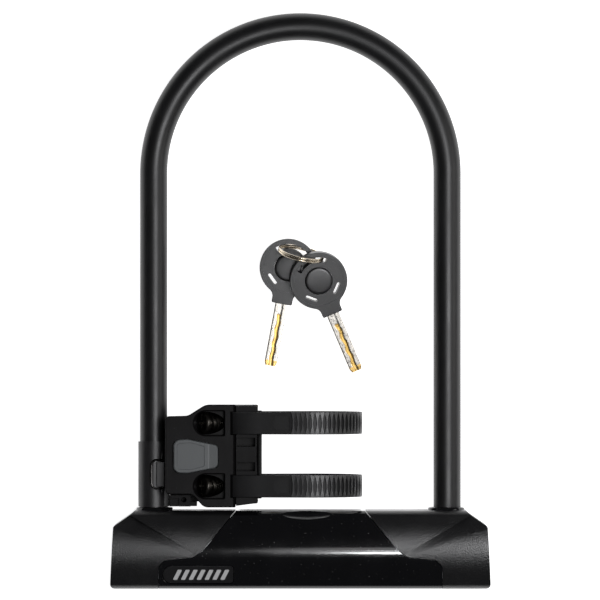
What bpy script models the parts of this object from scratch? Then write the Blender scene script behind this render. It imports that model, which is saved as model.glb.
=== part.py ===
"""A bicycle U lock with its frame bracket and two keys, lying flat on its crossbar.

The model is in metres. X runs along the crossbar, Y from the crossbar to the arch and
Z up from the surface that the lock lies on. The origin is the middle of the flat back.
"""

import math

import bmesh
import bpy
from mathutils import Matrix, Vector

# Shackle
LEG_X = 0.0917
LEG_Z = 0.023
ARCH_Y = 0.2347
BAR_RADIUS = 0.0065
SLEEVE_RADIUS = 0.0085
SLEEVE_WALL = 0.0017
BAR_END_Y = -0.0105
SLEEVE_END_Y = 0.0215
ARCH_STEPS = 20
NOTCH_FLOOR_X = 0.0894
NOTCH_HALF = 0.006

# Crossbar
BAR_HALF_LENGTH = 0.1186
BAR_HALF_HEIGHT = 0.0244
BAR_DEPTH = 0.046
CROWN_RADIUS = 0.040
CROWN_HALF = 0.0175
SIDE_RADIUS = 0.0066
SIDE_DROP = 0.0074
BACK_RADIUS = 0.008
END_OUTLINE = ((0.1165, 0.0146, 0.002), (0.1058, 0.0220, 0.003), (0.1030, BAR_HALF_HEIGHT, 0))
TUBE_RADIUS = 0.0198
TUBE_BORE = 0.0168
TUBE_HALF_LENGTH = 0.1128
BOOT_X = 0.0911
BOOT_RADIUS = 0.0113
BOOT_TOP_Y = 0.0262
GAP = 0.0003
COVER_EDGE = ((0.0400, 0.030, 0), (0.0400, 0.0243, 0.002), (0.0607, -0.0006, 0.006),
              (0.0670, -0.0047, 0.006), (0.0845, -0.0066, 0.003), (0.0882, -0.0105, 0.003),
              (0.0882, -0.030, 0))
DISH_HALF_LENGTH = 0.038
DISH_Z = (0.014, 0.032)
DISH_DEPTH = 0.0022
BADGE_X = (-0.0855, -0.0418)
BADGE_Y = -0.0154
BADGE_HALF_HEIGHT = 0.0058
BADGE_DROP = 0.00312
END_SCREW_X = 0.1060
MIDDLE_SCREW_X = 0.048
SCREW_HOLE = 0.0018
SCREW_HEAD_HOLE = 0.0032
KEY_HOLE_RADIUS = 0.0095
SHUTTER_HALF_LENGTH = 0.0120
SHUTTER_Y = (-0.0242, -0.0233)
LEG_HOLE_RADIUS = 0.0098

# Lock cylinder, on the Y axis through the middle of the crossbar
SHELL_RADIUS = 0.009
PLUG_RADIUS = 0.0072
PLUG_BORE = 0.0057
DISC_RADIUS = 0.0054
DISC_COUNT = 5
DISC_PITCH = 0.0036
DISC_THICKNESS = 0.0018
KEYWAY = (0.0036, 0.0086)
CRANK_RADIUS = 0.0045
CRANK_PIN = 0.0012
BOLT_TIP_X = 0.0826
BOLT_HALF = 0.005
PIN_X = 0.0200
PIN_Y = -0.006
PIN_HOLE = 0.0022
BODY_HALF_LENGTH = 0.026

# Clamp collar and adapter on the left leg
COLLAR_INNER = 0.0087
COLLAR_OUTER = 0.0096
COLLAR_LOW_Y = 0.0266
COLLAR_HIGH_Y = 0.0672
PAD_FACE_X = -0.0818
CLAMP_SCREW_LEVELS = (("lower", 0.0380), ("upper", 0.0560))
CLAMP_SCREW_Z = 0.0095
BAIL_Z = 0.0335
BAIL_PIVOT = (-0.0864, 0.0317)
BAIL_LEFT_X = -0.0929
BAIL_Y = (0.0380, 0.0560)
BAIL_STUB = 0.0020
BAIL_CORNER = 0.0035
BAIL_WIRE = 0.0007

# Frame bracket
PLATE_LOW_Z = 0.040
PLATE_HIGH_Z = 0.044
BASE_LOW_Z = 0.011
BLOCK_HIGH_Z = 0.0442
BLOCK_LEFT_X = -0.0400
BLOCK_RIGHT_X = -0.0265
STRAP_THICKNESS = 0.0018
STRAP_WIDTH = 0.0138
STRAP_MIDDLE_Z = 0.0275
STRAP_LEVELS = (("upper", 0.0790), ("lower", 0.0398))
STRAP_CENTRE_X = 0.005
STRAP_END_X = 0.0385
STRAP_FRONT_Z = 0.0502
SLOT_COUNT = 20
SLOT_PITCH = 0.0029
SLOT_SIZE = (0.0013, 0.0094)
WORM_TILT = math.radians(32)
WORM_RADIUS = 0.0054
WORM_HEAD_RADIUS = 0.0066
WORM_HEAD_X = -0.0612
WORM_HEAD_Z = 0.0402
BUTTON_LOW_Z = 0.0386
BUTTON_TOP_Z = 0.0474
BUTTON_FLANGE_Z = 0.0396
BUTTON_MIDDLE = (-0.065, 0.0585)
BUTTON_OUTLINE = ((-0.0787, 0.0484, 0.0042), (-0.0700, 0.0480, 0.010), (-0.0512, 0.0517, 0.003),
                  (-0.0512, 0.0652, 0.003), (-0.0700, 0.0690, 0.010), (-0.0787, 0.0686, 0.0042))
SPRING_TURNS = 4
SPRING_RADIUS = 0.0030
SPRING_WIRE = 0.0004
SPRING_Z = (0.0368, 0.0418)

# Keys and their ring
KEY_HEAD_RADIUS = 0.018
KEY_HEAD_THICKNESS = 0.0064
KEY_DISC_RADIUS = 0.0084
KEY_DISC_THICKNESS = 0.0078
KEY_NECK_END = 0.0232
KEY_NECK_WIDTH = 0.013
BLADE_WIDTH = 0.0078
BLADE_THICKNESS = 0.003
BLADE_TIP = 0.0628
RING_SLOT_RADIUS = 0.0134
RING_SLOT_WIDTH = 0.003
RING_SLOT_HALF_ANGLE = math.radians(43)
RING_RADIUS = 0.014
RING_WIRE = 0.0008
RING_CENTRE = (0.0004, 0.1846, 0.0148)
RING_HEADING = math.radians(-13.2)
RING_LEAN = math.radians(75.2)
# name, middle of the head, heading, pitch, and the place on the ring that it swings about
KEYS = (("key_1", (-0.0076, 0.1761, 0.0068), math.radians(-10.5), math.radians(4.55),
         (-0.0108, 0.1892, 0.0077)),
        ("key_2", (0.0113, 0.1681, 0.0146), math.radians(23.0), math.radians(11.4),
         (0.0137, 0.1809, 0.0169)))


def clear_scene():
    for old in list(bpy.data.objects):
        bpy.data.objects.remove(old)


def new_collection(name):
    made = bpy.data.collections.new(name)
    bpy.context.scene.collection.children.link(made)
    return made


def new_material(name, color, roughness, metallic=0.0):
    made = bpy.data.materials.new(name)
    made.use_nodes = True
    shader = made.node_tree.nodes["Principled BSDF"]
    shader.inputs["Base Color"].default_value = (*color, 1.0)
    shader.inputs["Roughness"].default_value = roughness
    shader.inputs["Metallic"].default_value = metallic
    return made


clear_scene()
PARTS = new_collection("u_lock")
CUTTERS = new_collection("cutters")


def link(name, data, material):
    """Link an object to the parts, or to the cutters where it has no material."""
    made = bpy.data.objects.new(name, data)
    if material:
        PARTS.objects.link(made)
        made.data.materials.append(material)
    else:
        CUTTERS.objects.link(made)
        made.hide_render = True
        made.display_type = "WIRE"
    return made


def from_bmesh(name, shape, material):
    bmesh.ops.recalc_face_normals(shape, faces=shape.faces)
    data = bpy.data.meshes.new(name)
    shape.to_mesh(data)
    shape.free()
    return link(name, data, material)


def box(name, low, high, material=None):
    shape = bmesh.new()
    size = [high[i] - low[i] for i in range(3)]
    middle = [(high[i] + low[i]) / 2 for i in range(3)]
    bmesh.ops.create_cube(shape, size=1.0, matrix=Matrix.Translation(middle) @ Matrix.Diagonal((*size, 1)))
    return from_bmesh(name, shape, material)


def towards(start, end):
    """The matrix that puts the Z axis along start to end, at their middle."""
    line = Vector(end) - Vector(start)
    turn = Vector((0, 0, 1)).rotation_difference(line).to_matrix().to_4x4()
    return Matrix.Translation((Vector(start) + Vector(end)) / 2) @ turn


def cylinder(name, start, end, radius, material=None, sides=24):
    shape = bmesh.new()
    length = (Vector(end) - Vector(start)).length
    bmesh.ops.create_cone(shape, cap_ends=True, segments=sides, radius1=radius, radius2=radius,
                          depth=length, matrix=towards(start, end))
    return smooth(from_bmesh(name, shape, material))


def smooth(made):
    made.data.shade_smooth()
    made.data.set_sharp_from_angle(angle=math.radians(35))
    return made


def turned(name, profile, start, end, material=None, closed=False, steps=24):
    """Turn (radius, height) points about the line start to end, heights measured from start.

    The profile runs down its outer side, and up its inner side where it is closed.
    """
    data = bpy.data.meshes.new(name)
    count = len(profile)
    edges = [(i, i + 1) for i in range(count - 1)]
    if closed:
        edges.append((count - 1, 0))
    data.from_pydata([(radius, 0, height) for radius, height in profile], edges, [])
    made = link(name, data, material)
    turn = Vector((0, 0, 1)).rotation_difference(Vector(end) - Vector(start))
    made.location = start
    made.rotation_mode = "QUATERNION"
    made.rotation_quaternion = turn
    screw = made.modifiers.new("turn", "SCREW")
    screw.steps = screw.render_steps = steps
    screw.use_merge_vertices = True
    screw.merge_threshold = 0.00001
    screw.use_smooth_shade = False
    return made


def ring(name, inner, outer, start, end, material=None, steps=24):
    length = (Vector(end) - Vector(start)).length
    profile = [(outer, length), (outer, 0), (inner, 0), (inner, length)]
    return turned(name, profile, start, end, material, closed=True, steps=steps)


def arc(centre, radius, first, last, steps):
    """Points on an arc between two angles, ends included."""
    return [(centre[0] + radius * math.cos(first + (last - first) * i / steps),
             centre[1] + radius * math.sin(first + (last - first) * i / steps))
            for i in range(steps + 1)]


def rounded(corners, steps=4):
    """An outline through (x, y, radius) corners, each one rounded by its radius."""
    points = []
    count = len(corners)
    for i, (x, y, radius) in enumerate(corners):
        here = Vector((x, y))
        before = (Vector(corners[i - 1][:2]) - here).normalized()
        after = (Vector(corners[(i + 1) % count][:2]) - here).normalized()
        half = before.angle(after) / 2
        if radius <= 0:
            points.append((x, y))
            continue
        reach = radius / math.tan(half)
        first = here + before * reach
        last = here + after * reach
        centre = here + (before + after).normalized() * radius / math.sin(half)
        from_angle = math.atan2(first.y - centre.y, first.x - centre.x)
        turn = math.atan2(last.y - centre.y, last.x - centre.x) - from_angle
        turn = (turn + math.pi) % (2 * math.pi) - math.pi
        points += arc(centre, radius, from_angle, from_angle + turn, steps)
    return points


PLANES = {
    "xy": Matrix(((1, 0, 0), (0, 1, 0), (0, 0, 1))).to_4x4(),
    "xz": Matrix(((1, 0, 0), (0, 0, -1), (0, 1, 0))).to_4x4(),
    "yz": Matrix(((0, 0, 1), (1, 0, 0), (0, 1, 0))).to_4x4(),
}


def as_mesh(curve_object, material):
    """Replace a curve object by its evaluated mesh, with its caps welded."""
    bpy.context.view_layer.update()
    evaluated = curve_object.evaluated_get(bpy.context.evaluated_depsgraph_get())
    data = bpy.data.meshes.new_from_object(evaluated)
    shape = bmesh.new()
    shape.from_mesh(data)
    shape.transform(curve_object.matrix_world)
    bmesh.ops.remove_doubles(shape, verts=shape.verts, dist=0.000001)
    name = curve_object.name
    bpy.data.objects.remove(curve_object)
    return from_bmesh(name, shape, material)


def prism(name, outlines, plane, low, high, material=None):
    """Extrude flat outlines, the first one solid and the others holes, between two heights."""
    curve = bpy.data.curves.new(name, "CURVE")
    curve.dimensions = "2D"
    curve.fill_mode = "BOTH"
    curve.extrude = (high - low) / 2
    for outline in outlines:
        spline = curve.splines.new("POLY")
        spline.points.add(len(outline) - 1)
        for point, (x, y) in zip(spline.points, outline):
            point.co = (x, y, 0, 1)
        spline.use_cyclic_u = True
    made = bpy.data.objects.new(name, curve)
    CUTTERS.objects.link(made)
    middle = (high + low) / 2
    if plane == "xz":
        middle = -middle
    made.matrix_world = PLANES[plane] @ Matrix.Translation((0, 0, middle))
    return as_mesh(made, material)


def wire(name, points, radius, material=None, cyclic=False, resolution=2, caps=True):
    curve = bpy.data.curves.new(name, "CURVE")
    curve.dimensions = "3D"
    curve.bevel_depth = radius
    curve.bevel_resolution = resolution
    curve.use_fill_caps = caps
    spline = curve.splines.new("POLY")
    spline.points.add(len(points) - 1)
    for point, place in zip(spline.points, points):
        point.co = (*place, 1)
    spline.use_cyclic_u = cyclic
    made = bpy.data.objects.new(name, curve)
    CUTTERS.objects.link(made)
    return as_mesh(made, material)


def boolean(target, operation, *tools):
    for tool in tools:
        modifier = target.modifiers.new(tool.name, "BOOLEAN")
        modifier.operation = operation
        modifier.solver = "EXACT"
        modifier.object = tool
    return target


def cut(target, *tools):
    return boolean(target, "DIFFERENCE", *tools)


def keep(target, *tools):
    return boolean(target, "INTERSECT", *tools)


def join(target, *tools):
    return boolean(target, "UNION", *tools)


def joint(name, place, parent=None):
    """An empty on a joint's axis, which the moving pieces are parented to."""
    made = bpy.data.objects.new(name, None)
    made.empty_display_size = 0.01
    PARTS.objects.link(made)
    made.location = place
    if parent:
        made.parent = parent
        made.matrix_parent_inverse = Matrix.Translation(parent["place"]).inverted()
    made["place"] = place
    return made


def carry(parent, *pieces):
    for piece in pieces:
        piece.parent = parent
        piece.matrix_parent_inverse = Matrix.Translation(parent["place"]).inverted()


STEEL = new_material("hardened_steel", (0.30, 0.31, 0.32), 0.42, 1.0)
VINYL = new_material("black_vinyl", (0.030, 0.031, 0.034), 0.38)
GLOSS = new_material("gloss_black", (0.008, 0.008, 0.010), 0.12)
CAP_PLASTIC = new_material("matte_black_cap", (0.022, 0.022, 0.024), 0.55)
BRACKET_PLASTIC = new_material("bracket_plastic", (0.045, 0.044, 0.046), 0.60)
STRAP_PLASTIC = new_material("strap_plastic", (0.042, 0.042, 0.045), 0.55)
BUTTON_GREY = new_material("button_grey", (0.10, 0.107, 0.11), 0.45)
CHROME = new_material("chrome_wire", (0.65, 0.65, 0.66), 0.12, 1.0)
SCREW_STEEL = new_material("screw_steel", (0.42, 0.40, 0.36), 0.35, 1.0)
BRASS = new_material("brass", (0.62, 0.46, 0.20), 0.35, 1.0)
NICKEL = new_material("nickel_blade", (0.55, 0.53, 0.48), 0.28, 1.0)
KEY_PLASTIC = new_material("key_plastic", (0.024, 0.024, 0.027), 0.45)
BADGE = new_material("badge_plate", (0.02, 0.02, 0.022), 0.30)
RUBBER = new_material("rubber", (0.02, 0.02, 0.02), 0.80)


def shackle_path(end_y):
    half_turn = arc((0, ARCH_Y), LEG_X, math.pi, 0, ARCH_STEPS)
    return [(-LEG_X, end_y, LEG_Z)] + [(x, y, LEG_Z) for x, y in half_turn] + [(LEG_X, end_y, LEG_Z)]


def build_shackle():
    bar = smooth(wire("shackle_bar", shackle_path(BAR_END_Y), BAR_RADIUS, STEEL, resolution=4))
    for side in (-1, 1):
        floor_x, open_x = side * NOTCH_FLOOR_X, side * (LEG_X - BAR_RADIUS - 0.004)
        cut(bar, box("bolt_notch_cutter", (min(floor_x, open_x), -NOTCH_HALF, LEG_Z - 0.01),
                     (max(floor_x, open_x), NOTCH_HALF, LEG_Z + 0.01)))
    sleeve = smooth(wire("shackle_sleeve", shackle_path(SLEEVE_END_Y), SLEEVE_RADIUS, VINYL,
                         resolution=4, caps=False))
    wall = sleeve.modifiers.new("wall", "SOLIDIFY")
    wall.thickness = SLEEVE_WALL
    wall.offset = -1


def crossbar_section():
    """The crossbar's outline across its length: a crowned front, flat sides and a flat back."""
    middle = BAR_DEPTH - CROWN_RADIUS
    spread = math.asin(CROWN_HALF / CROWN_RADIUS)
    front = arc((0, middle), CROWN_RADIUS, math.pi / 2 - spread, math.pi / 2 + spread, 8)
    side_z = front[0][1] - SIDE_DROP
    half, back, side = BAR_HALF_HEIGHT, BACK_RADIUS, SIDE_RADIUS
    return (arc((back - half, back), back, math.pi, math.pi * 1.5, 4)
            + arc((half - back, back), back, math.pi * 1.5, math.tau, 4)
            + arc((half - side, side_z), side, 0, math.radians(52), 4) + front
            + arc((side - half, side_z), side, math.radians(128), math.pi, 4))


def crossbar_blank(name, material):
    """The crossbar's outer body before it is split into its covers, hollowed for the tube."""
    corners = [(-BAR_HALF_LENGTH, -BAR_HALF_HEIGHT, 0.003), (BAR_HALF_LENGTH, -BAR_HALF_HEIGHT, 0.003)]
    corners += END_OUTLINE
    corners += [(-x, y, r) for x, y, r in reversed(END_OUTLINE)]
    body = prism(name, [crossbar_section()], "yz", -BAR_HALF_LENGTH, BAR_HALF_LENGTH, material)
    keep(body, prism(name + "_front_cutter", [rounded(corners, 3)], "xy", -0.01, 0.06))
    cut(body, cylinder(name + "_tube_cutter", (-TUBE_HALF_LENGTH - GAP, 0, LEG_Z),
                       (TUBE_HALF_LENGTH + GAP, 0, LEG_Z), TUBE_RADIUS + GAP))
    return body


def cover_outline(grow):
    """The centre cover's outline, moved outwards by grow."""
    right = [(x + grow, y + (grow if 0 < i < 6 else 0), r) for i, (x, y, r) in enumerate(COVER_EDGE)]
    left = [(-x, y, r) for x, y, r in reversed(right)]
    return right + left


def build_crossbar(shackle):
    slide = joint("crossbar_slide", (0, 0, LEG_Z), shackle)
    tube = ring("crossbar_tube", TUBE_BORE, TUBE_RADIUS, (-TUBE_HALF_LENGTH, 0, LEG_Z),
                (TUBE_HALF_LENGTH, 0, LEG_Z), STEEL)
    key_hole = cylinder("key_hole_cutter", (0, -0.03, LEG_Z), (0, 0, LEG_Z), SHELL_RADIUS + GAP)
    cut(tube, key_hole)
    cover = crossbar_blank("centre_cover", GLOSS)
    keep(cover, prism("cover_cutter", [rounded(cover_outline(0), 4)], "xy", -0.01, 0.06))
    cut(cover, cylinder("cover_key_hole_cutter", (0, -0.03, LEG_Z), (0, 0, LEG_Z), KEY_HOLE_RADIUS))
    cut(cover, box("shutter_track_cutter", (-0.0125, -0.03, LEG_Z - 0.0102),
                   (0.0282, -BAR_HALF_HEIGHT + 0.0014, LEG_Z + 0.0102)))
    dish_outline = [(x, z, 0.006) for x, z in ((-DISH_HALF_LENGTH, DISH_Z[0]), (DISH_HALF_LENGTH, DISH_Z[0]),
                                               (DISH_HALF_LENGTH, DISH_Z[1]), (-DISH_HALF_LENGTH, DISH_Z[1]))]
    dish = prism("dish_cutter", [rounded(dish_outline, 3)], "xz", BAR_HALF_HEIGHT - DISH_DEPTH, 0.03)
    cut(cover, dish)
    pieces = [tube, cover, key_hole, dish, *build_badge(cover)]

    for name, side in (("left", -1), ("right", 1)):
        pieces += build_crossbar_end(name, side, tube)
    for made in (cover, tube):
        for x in (-MIDDLE_SCREW_X, MIDDLE_SCREW_X):
            screw_holes(made, x)
    screw_profile = [(0, 0), (0.0028, 0), (0.0028, -0.0016), (0.0014, -0.0016), (0.0014, -0.0054),
                     (0, -0.0054)]
    for i, x in enumerate((-END_SCREW_X, -MIDDLE_SCREW_X, MIDDLE_SCREW_X, END_SCREW_X)):
        pieces.append(turned("cover_screw_%d" % (i + 1), screw_profile, (x, 0, 0.0005), (x, 0, -1),
                             SCREW_STEEL, steps=16))
    carry(slide, *pieces)
    build_cylinder(slide)


def build_badge(cover):
    """The plate on the cover's lower front, in a pocket that leans with the crowned front."""
    tilt = math.asin(-BADGE_Y / CROWN_RADIUS)
    frame = Matrix.Translation((0, BADGE_Y, BAR_DEPTH - BADGE_DROP)) @ Matrix.Rotation(tilt, 4, "X")
    left_x, right_x = BADGE_X
    half = BADGE_HALF_HEIGHT
    corners = [(left_x, -half, 0.0055), (right_x, -half, 0.002), (right_x, half, 0.002),
               (left_x, half, 0.0055)]
    middle_x = (left_x + right_x) / 2
    grown = [(x + math.copysign(GAP, x - middle_x), y + math.copysign(GAP, y), r) for x, y, r in corners]
    badge = prism("badge_plate", [rounded(corners, 3)], "xy", -0.0013, -0.0004, BADGE)
    pocket = prism("badge_pocket_cutter", [rounded(grown, 3)], "xy", -0.0016, 0.004)
    for made in (badge, pocket):
        made.data.transform(frame)
    cut(cover, pocket)
    return [badge, pocket]


def screw_holes(target, x):
    """A counterbored hole through the back of a cover, and into the tube behind it."""
    cut(target, cylinder(target.name + "_screw_cutter", (x, 0, -0.002), (x, 0, 0.0072), SCREW_HOLE, sides=16))
    if not target.name.startswith("crossbar_tube"):
        cut(target, cylinder(target.name + "_head_cutter", (x, 0, -0.002), (x, 0, 0.0024),
                             SCREW_HEAD_HOLE, sides=16))


def build_crossbar_end(name, side, tube):
    """One end of the crossbar: cap, boot, end plug, leg guide, leg stop and roll pin."""
    x = side * LEG_X
    cap = crossbar_blank(name + "_end_cap", CAP_PLASTIC)
    region = [(side * px, py, r) for px, py, r in
              [(COVER_EDGE[0][0] + 2 * GAP, 0.030, 0)] + cover_outline(GAP)[1:6]
              + [(COVER_EDGE[6][0] + GAP, -0.030, 0), (0.125, -0.030, 0), (0.125, 0.030, 0)]]
    keep(cap, prism(name + "_cap_cutter", [rounded(region, 4)], "xy", -0.01, 0.06))
    boot_x = side * BOOT_X
    boot_hole = cylinder(name + "_boot_cutter", (boot_x, 0.005, LEG_Z), (boot_x, 0.03, LEG_Z),
                         BOOT_RADIUS + GAP)
    cut(cap, boot_hole)
    screw_holes(cap, side * END_SCREW_X)
    screw_holes(tube, side * END_SCREW_X)
    cut(tube, cylinder(name + "_leg_hole_cutter", (x, 0, LEG_Z), (x, 0.03, LEG_Z), LEG_HOLE_RADIUS))
    boot = turned(name + "_boot", [(0.0100, BOOT_TOP_Y - 0.0206), (BOOT_RADIUS, BOOT_TOP_Y - 0.0219),
                                   (BOOT_RADIUS, 0), (0.0092, 0), (0.0092, BOOT_TOP_Y - 0.0206)],
                  (boot_x, 0.0206, LEG_Z), (boot_x, 1, LEG_Z), GLOSS, closed=True)
    plug = cylinder(name + "_end_plug", (side * 0.1070, 0, LEG_Z), (side * 0.1125, 0, LEG_Z),
                    TUBE_BORE - GAP, STEEL, sides=32)
    guide = ring(name + "_leg_guide", BAR_RADIUS + GAP, 0.0092, (x, 0.0068, LEG_Z), (x, 0.0205, LEG_Z),
                 STEEL)
    stop = cylinder(name + "_leg_stop", (x, -0.0158, LEG_Z), (x, -0.0110, LEG_Z), 0.0050, RUBBER)
    pin_x = side * PIN_X
    pin = ring(name + "_roll_pin", 0.0011, 0.0019, (pin_x, PIN_Y, 0.0330), (pin_x, PIN_Y, 0.0412),
               STEEL, 16)
    cut(tube, cylinder(name + "_pin_cutter", (pin_x, PIN_Y, 0.0325), (pin_x, PIN_Y, 0.05),
                       PIN_HOLE, sides=16))
    return [cap, boot_hole, boot, plug, guide, stop, pin]


def build_cylinder(slide):
    """The lock cylinder and the two bolts that its crank pins drive."""
    body = cylinder("lock_body", (-BODY_HALF_LENGTH, 0, LEG_Z), (BODY_HALF_LENGTH, 0, LEG_Z),
                    TUBE_BORE - GAP, BRASS, sides=32)
    cut(body, cylinder("lock_body_bore_cutter", (0, -0.03, LEG_Z), (0, 0.0079, LEG_Z), SHELL_RADIUS + GAP),
        box("bolt_chamber_cutter", (-0.03, 0.0078, LEG_Z - 0.0078), (0.03, 0.0200, LEG_Z + 0.0078)))
    for side in (-1, 1):
        cut(body, cylinder("body_pin_cutter", (side * PIN_X, PIN_Y, 0.0325), (side * PIN_X, PIN_Y, 0.05),
                           PIN_HOLE, sides=16))
    shell = ring("cylinder_shell", PLUG_RADIUS + GAP, SHELL_RADIUS, (0, -0.0216, LEG_Z),
                 (0, 0.0074, LEG_Z), BRASS)
    escutcheon = ring("key_escutcheon", 0.0062, 0.0092, (0, -0.0230, LEG_Z), (0, -0.0219, LEG_Z), CHROME)
    shutter = box("keyway_shutter", (-SHUTTER_HALF_LENGTH, SHUTTER_Y[0], LEG_Z - 0.0098),
                  (SHUTTER_HALF_LENGTH, SHUTTER_Y[1], LEG_Z + 0.0098), CAP_PLASTIC)
    shutter_slide = joint("shutter_slide", (0, -0.0238, LEG_Z), slide)
    carry(shutter_slide, shutter)
    carry(slide, body, shell, escutcheon)

    turn = joint("plug_turn", (0, -0.010, LEG_Z), slide)
    plug = ring("cylinder_plug", PLUG_BORE, PLUG_RADIUS, (0, -0.0214, LEG_Z), (0, 0.0074, LEG_Z), BRASS)
    face = cylinder("plug_face_joiner", (0, -0.0214, LEG_Z), (0, -0.0194, LEG_Z), PLUG_BORE + 0.0005)
    keyway = box("keyway_cutter", (-KEYWAY[0] / 2, -0.03, LEG_Z - KEYWAY[1] / 2),
                 (KEYWAY[0] / 2, 0.004, LEG_Z + KEYWAY[1] / 2))
    join(plug, face)
    cut(plug, keyway)
    pieces = [plug, face, keyway]
    for i in range(DISC_COUNT):
        y = -0.0188 + i * DISC_PITCH
        disc = cylinder("detainer_disc_%d" % (i + 1), (0, y, LEG_Z), (0, y + DISC_THICKNESS, LEG_Z),
                        DISC_RADIUS, STEEL, sides=20)
        pieces.append(cut(disc, keyway))
    crank = cylinder("crank_disc", (0, 0.0082, LEG_Z), (0, 0.0103, LEG_Z), 0.0072, STEEL)
    hub = cylinder("crank_hub_joiner", (0, 0.0030, LEG_Z), (0, 0.0090, LEG_Z), DISC_RADIUS, sides=20)
    join(crank, hub)
    pieces += [crank, hub]
    reach = CRANK_RADIUS * math.sin(math.pi / 4)
    for name, side in (("left", -1), ("right", 1)):
        pin_x, pin_z = -side * reach, LEG_Z + side * reach
        pin = cylinder(name + "_crank_pin_joiner", (pin_x, 0.0095, pin_z), (pin_x, 0.0140, pin_z),
                       CRANK_PIN, sides=12)
        join(crank, pin)
        pieces.append(pin)
        build_bolt(name, side, pin_x, slide)
    carry(turn, *pieces)


def build_bolt(name, side, pin_x, slide):
    """A square bolt with a slotted arm that its crank pin moves."""
    def span(first, last):
        return min(side * first, side * last), max(side * first, side * last)

    low_x, high_x = span(0.0290, BOLT_TIP_X)
    bolt = box(name + "_bolt", (low_x, -BOLT_HALF, LEG_Z - BOLT_HALF),
               (high_x, BOLT_HALF, LEG_Z + BOLT_HALF), STEEL)
    low_z, high_z = sorted((LEG_Z + side * 0.0003, LEG_Z + side * 0.0068))
    arm_x = span(0.0290, 0.0340)
    arm = box(name + "_arm_joiner", (arm_x[0], 0.004, low_z), (arm_x[1], 0.0142, high_z))
    plate_x = span(-0.0068, 0.0320)
    plate = box(name + "_plate_joiner", (plate_x[0], 0.0106, low_z), (plate_x[1], 0.0142, high_z))
    slot_z = sorted((LEG_Z + side * 0.0014, LEG_Z + side * 0.0062))
    slot = box(name + "_slot_cutter", (pin_x - CRANK_PIN - 0.0004, 0.009, slot_z[0]),
               (pin_x + CRANK_PIN + 0.0004, 0.016, slot_z[1]))
    join(bolt, arm, plate)
    cut(bolt, slot)
    bolt_slide = joint(name + "_bolt_slide", (side * 0.056, 0, LEG_Z), slide)
    carry(bolt_slide, bolt, arm, plate, slot)


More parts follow.
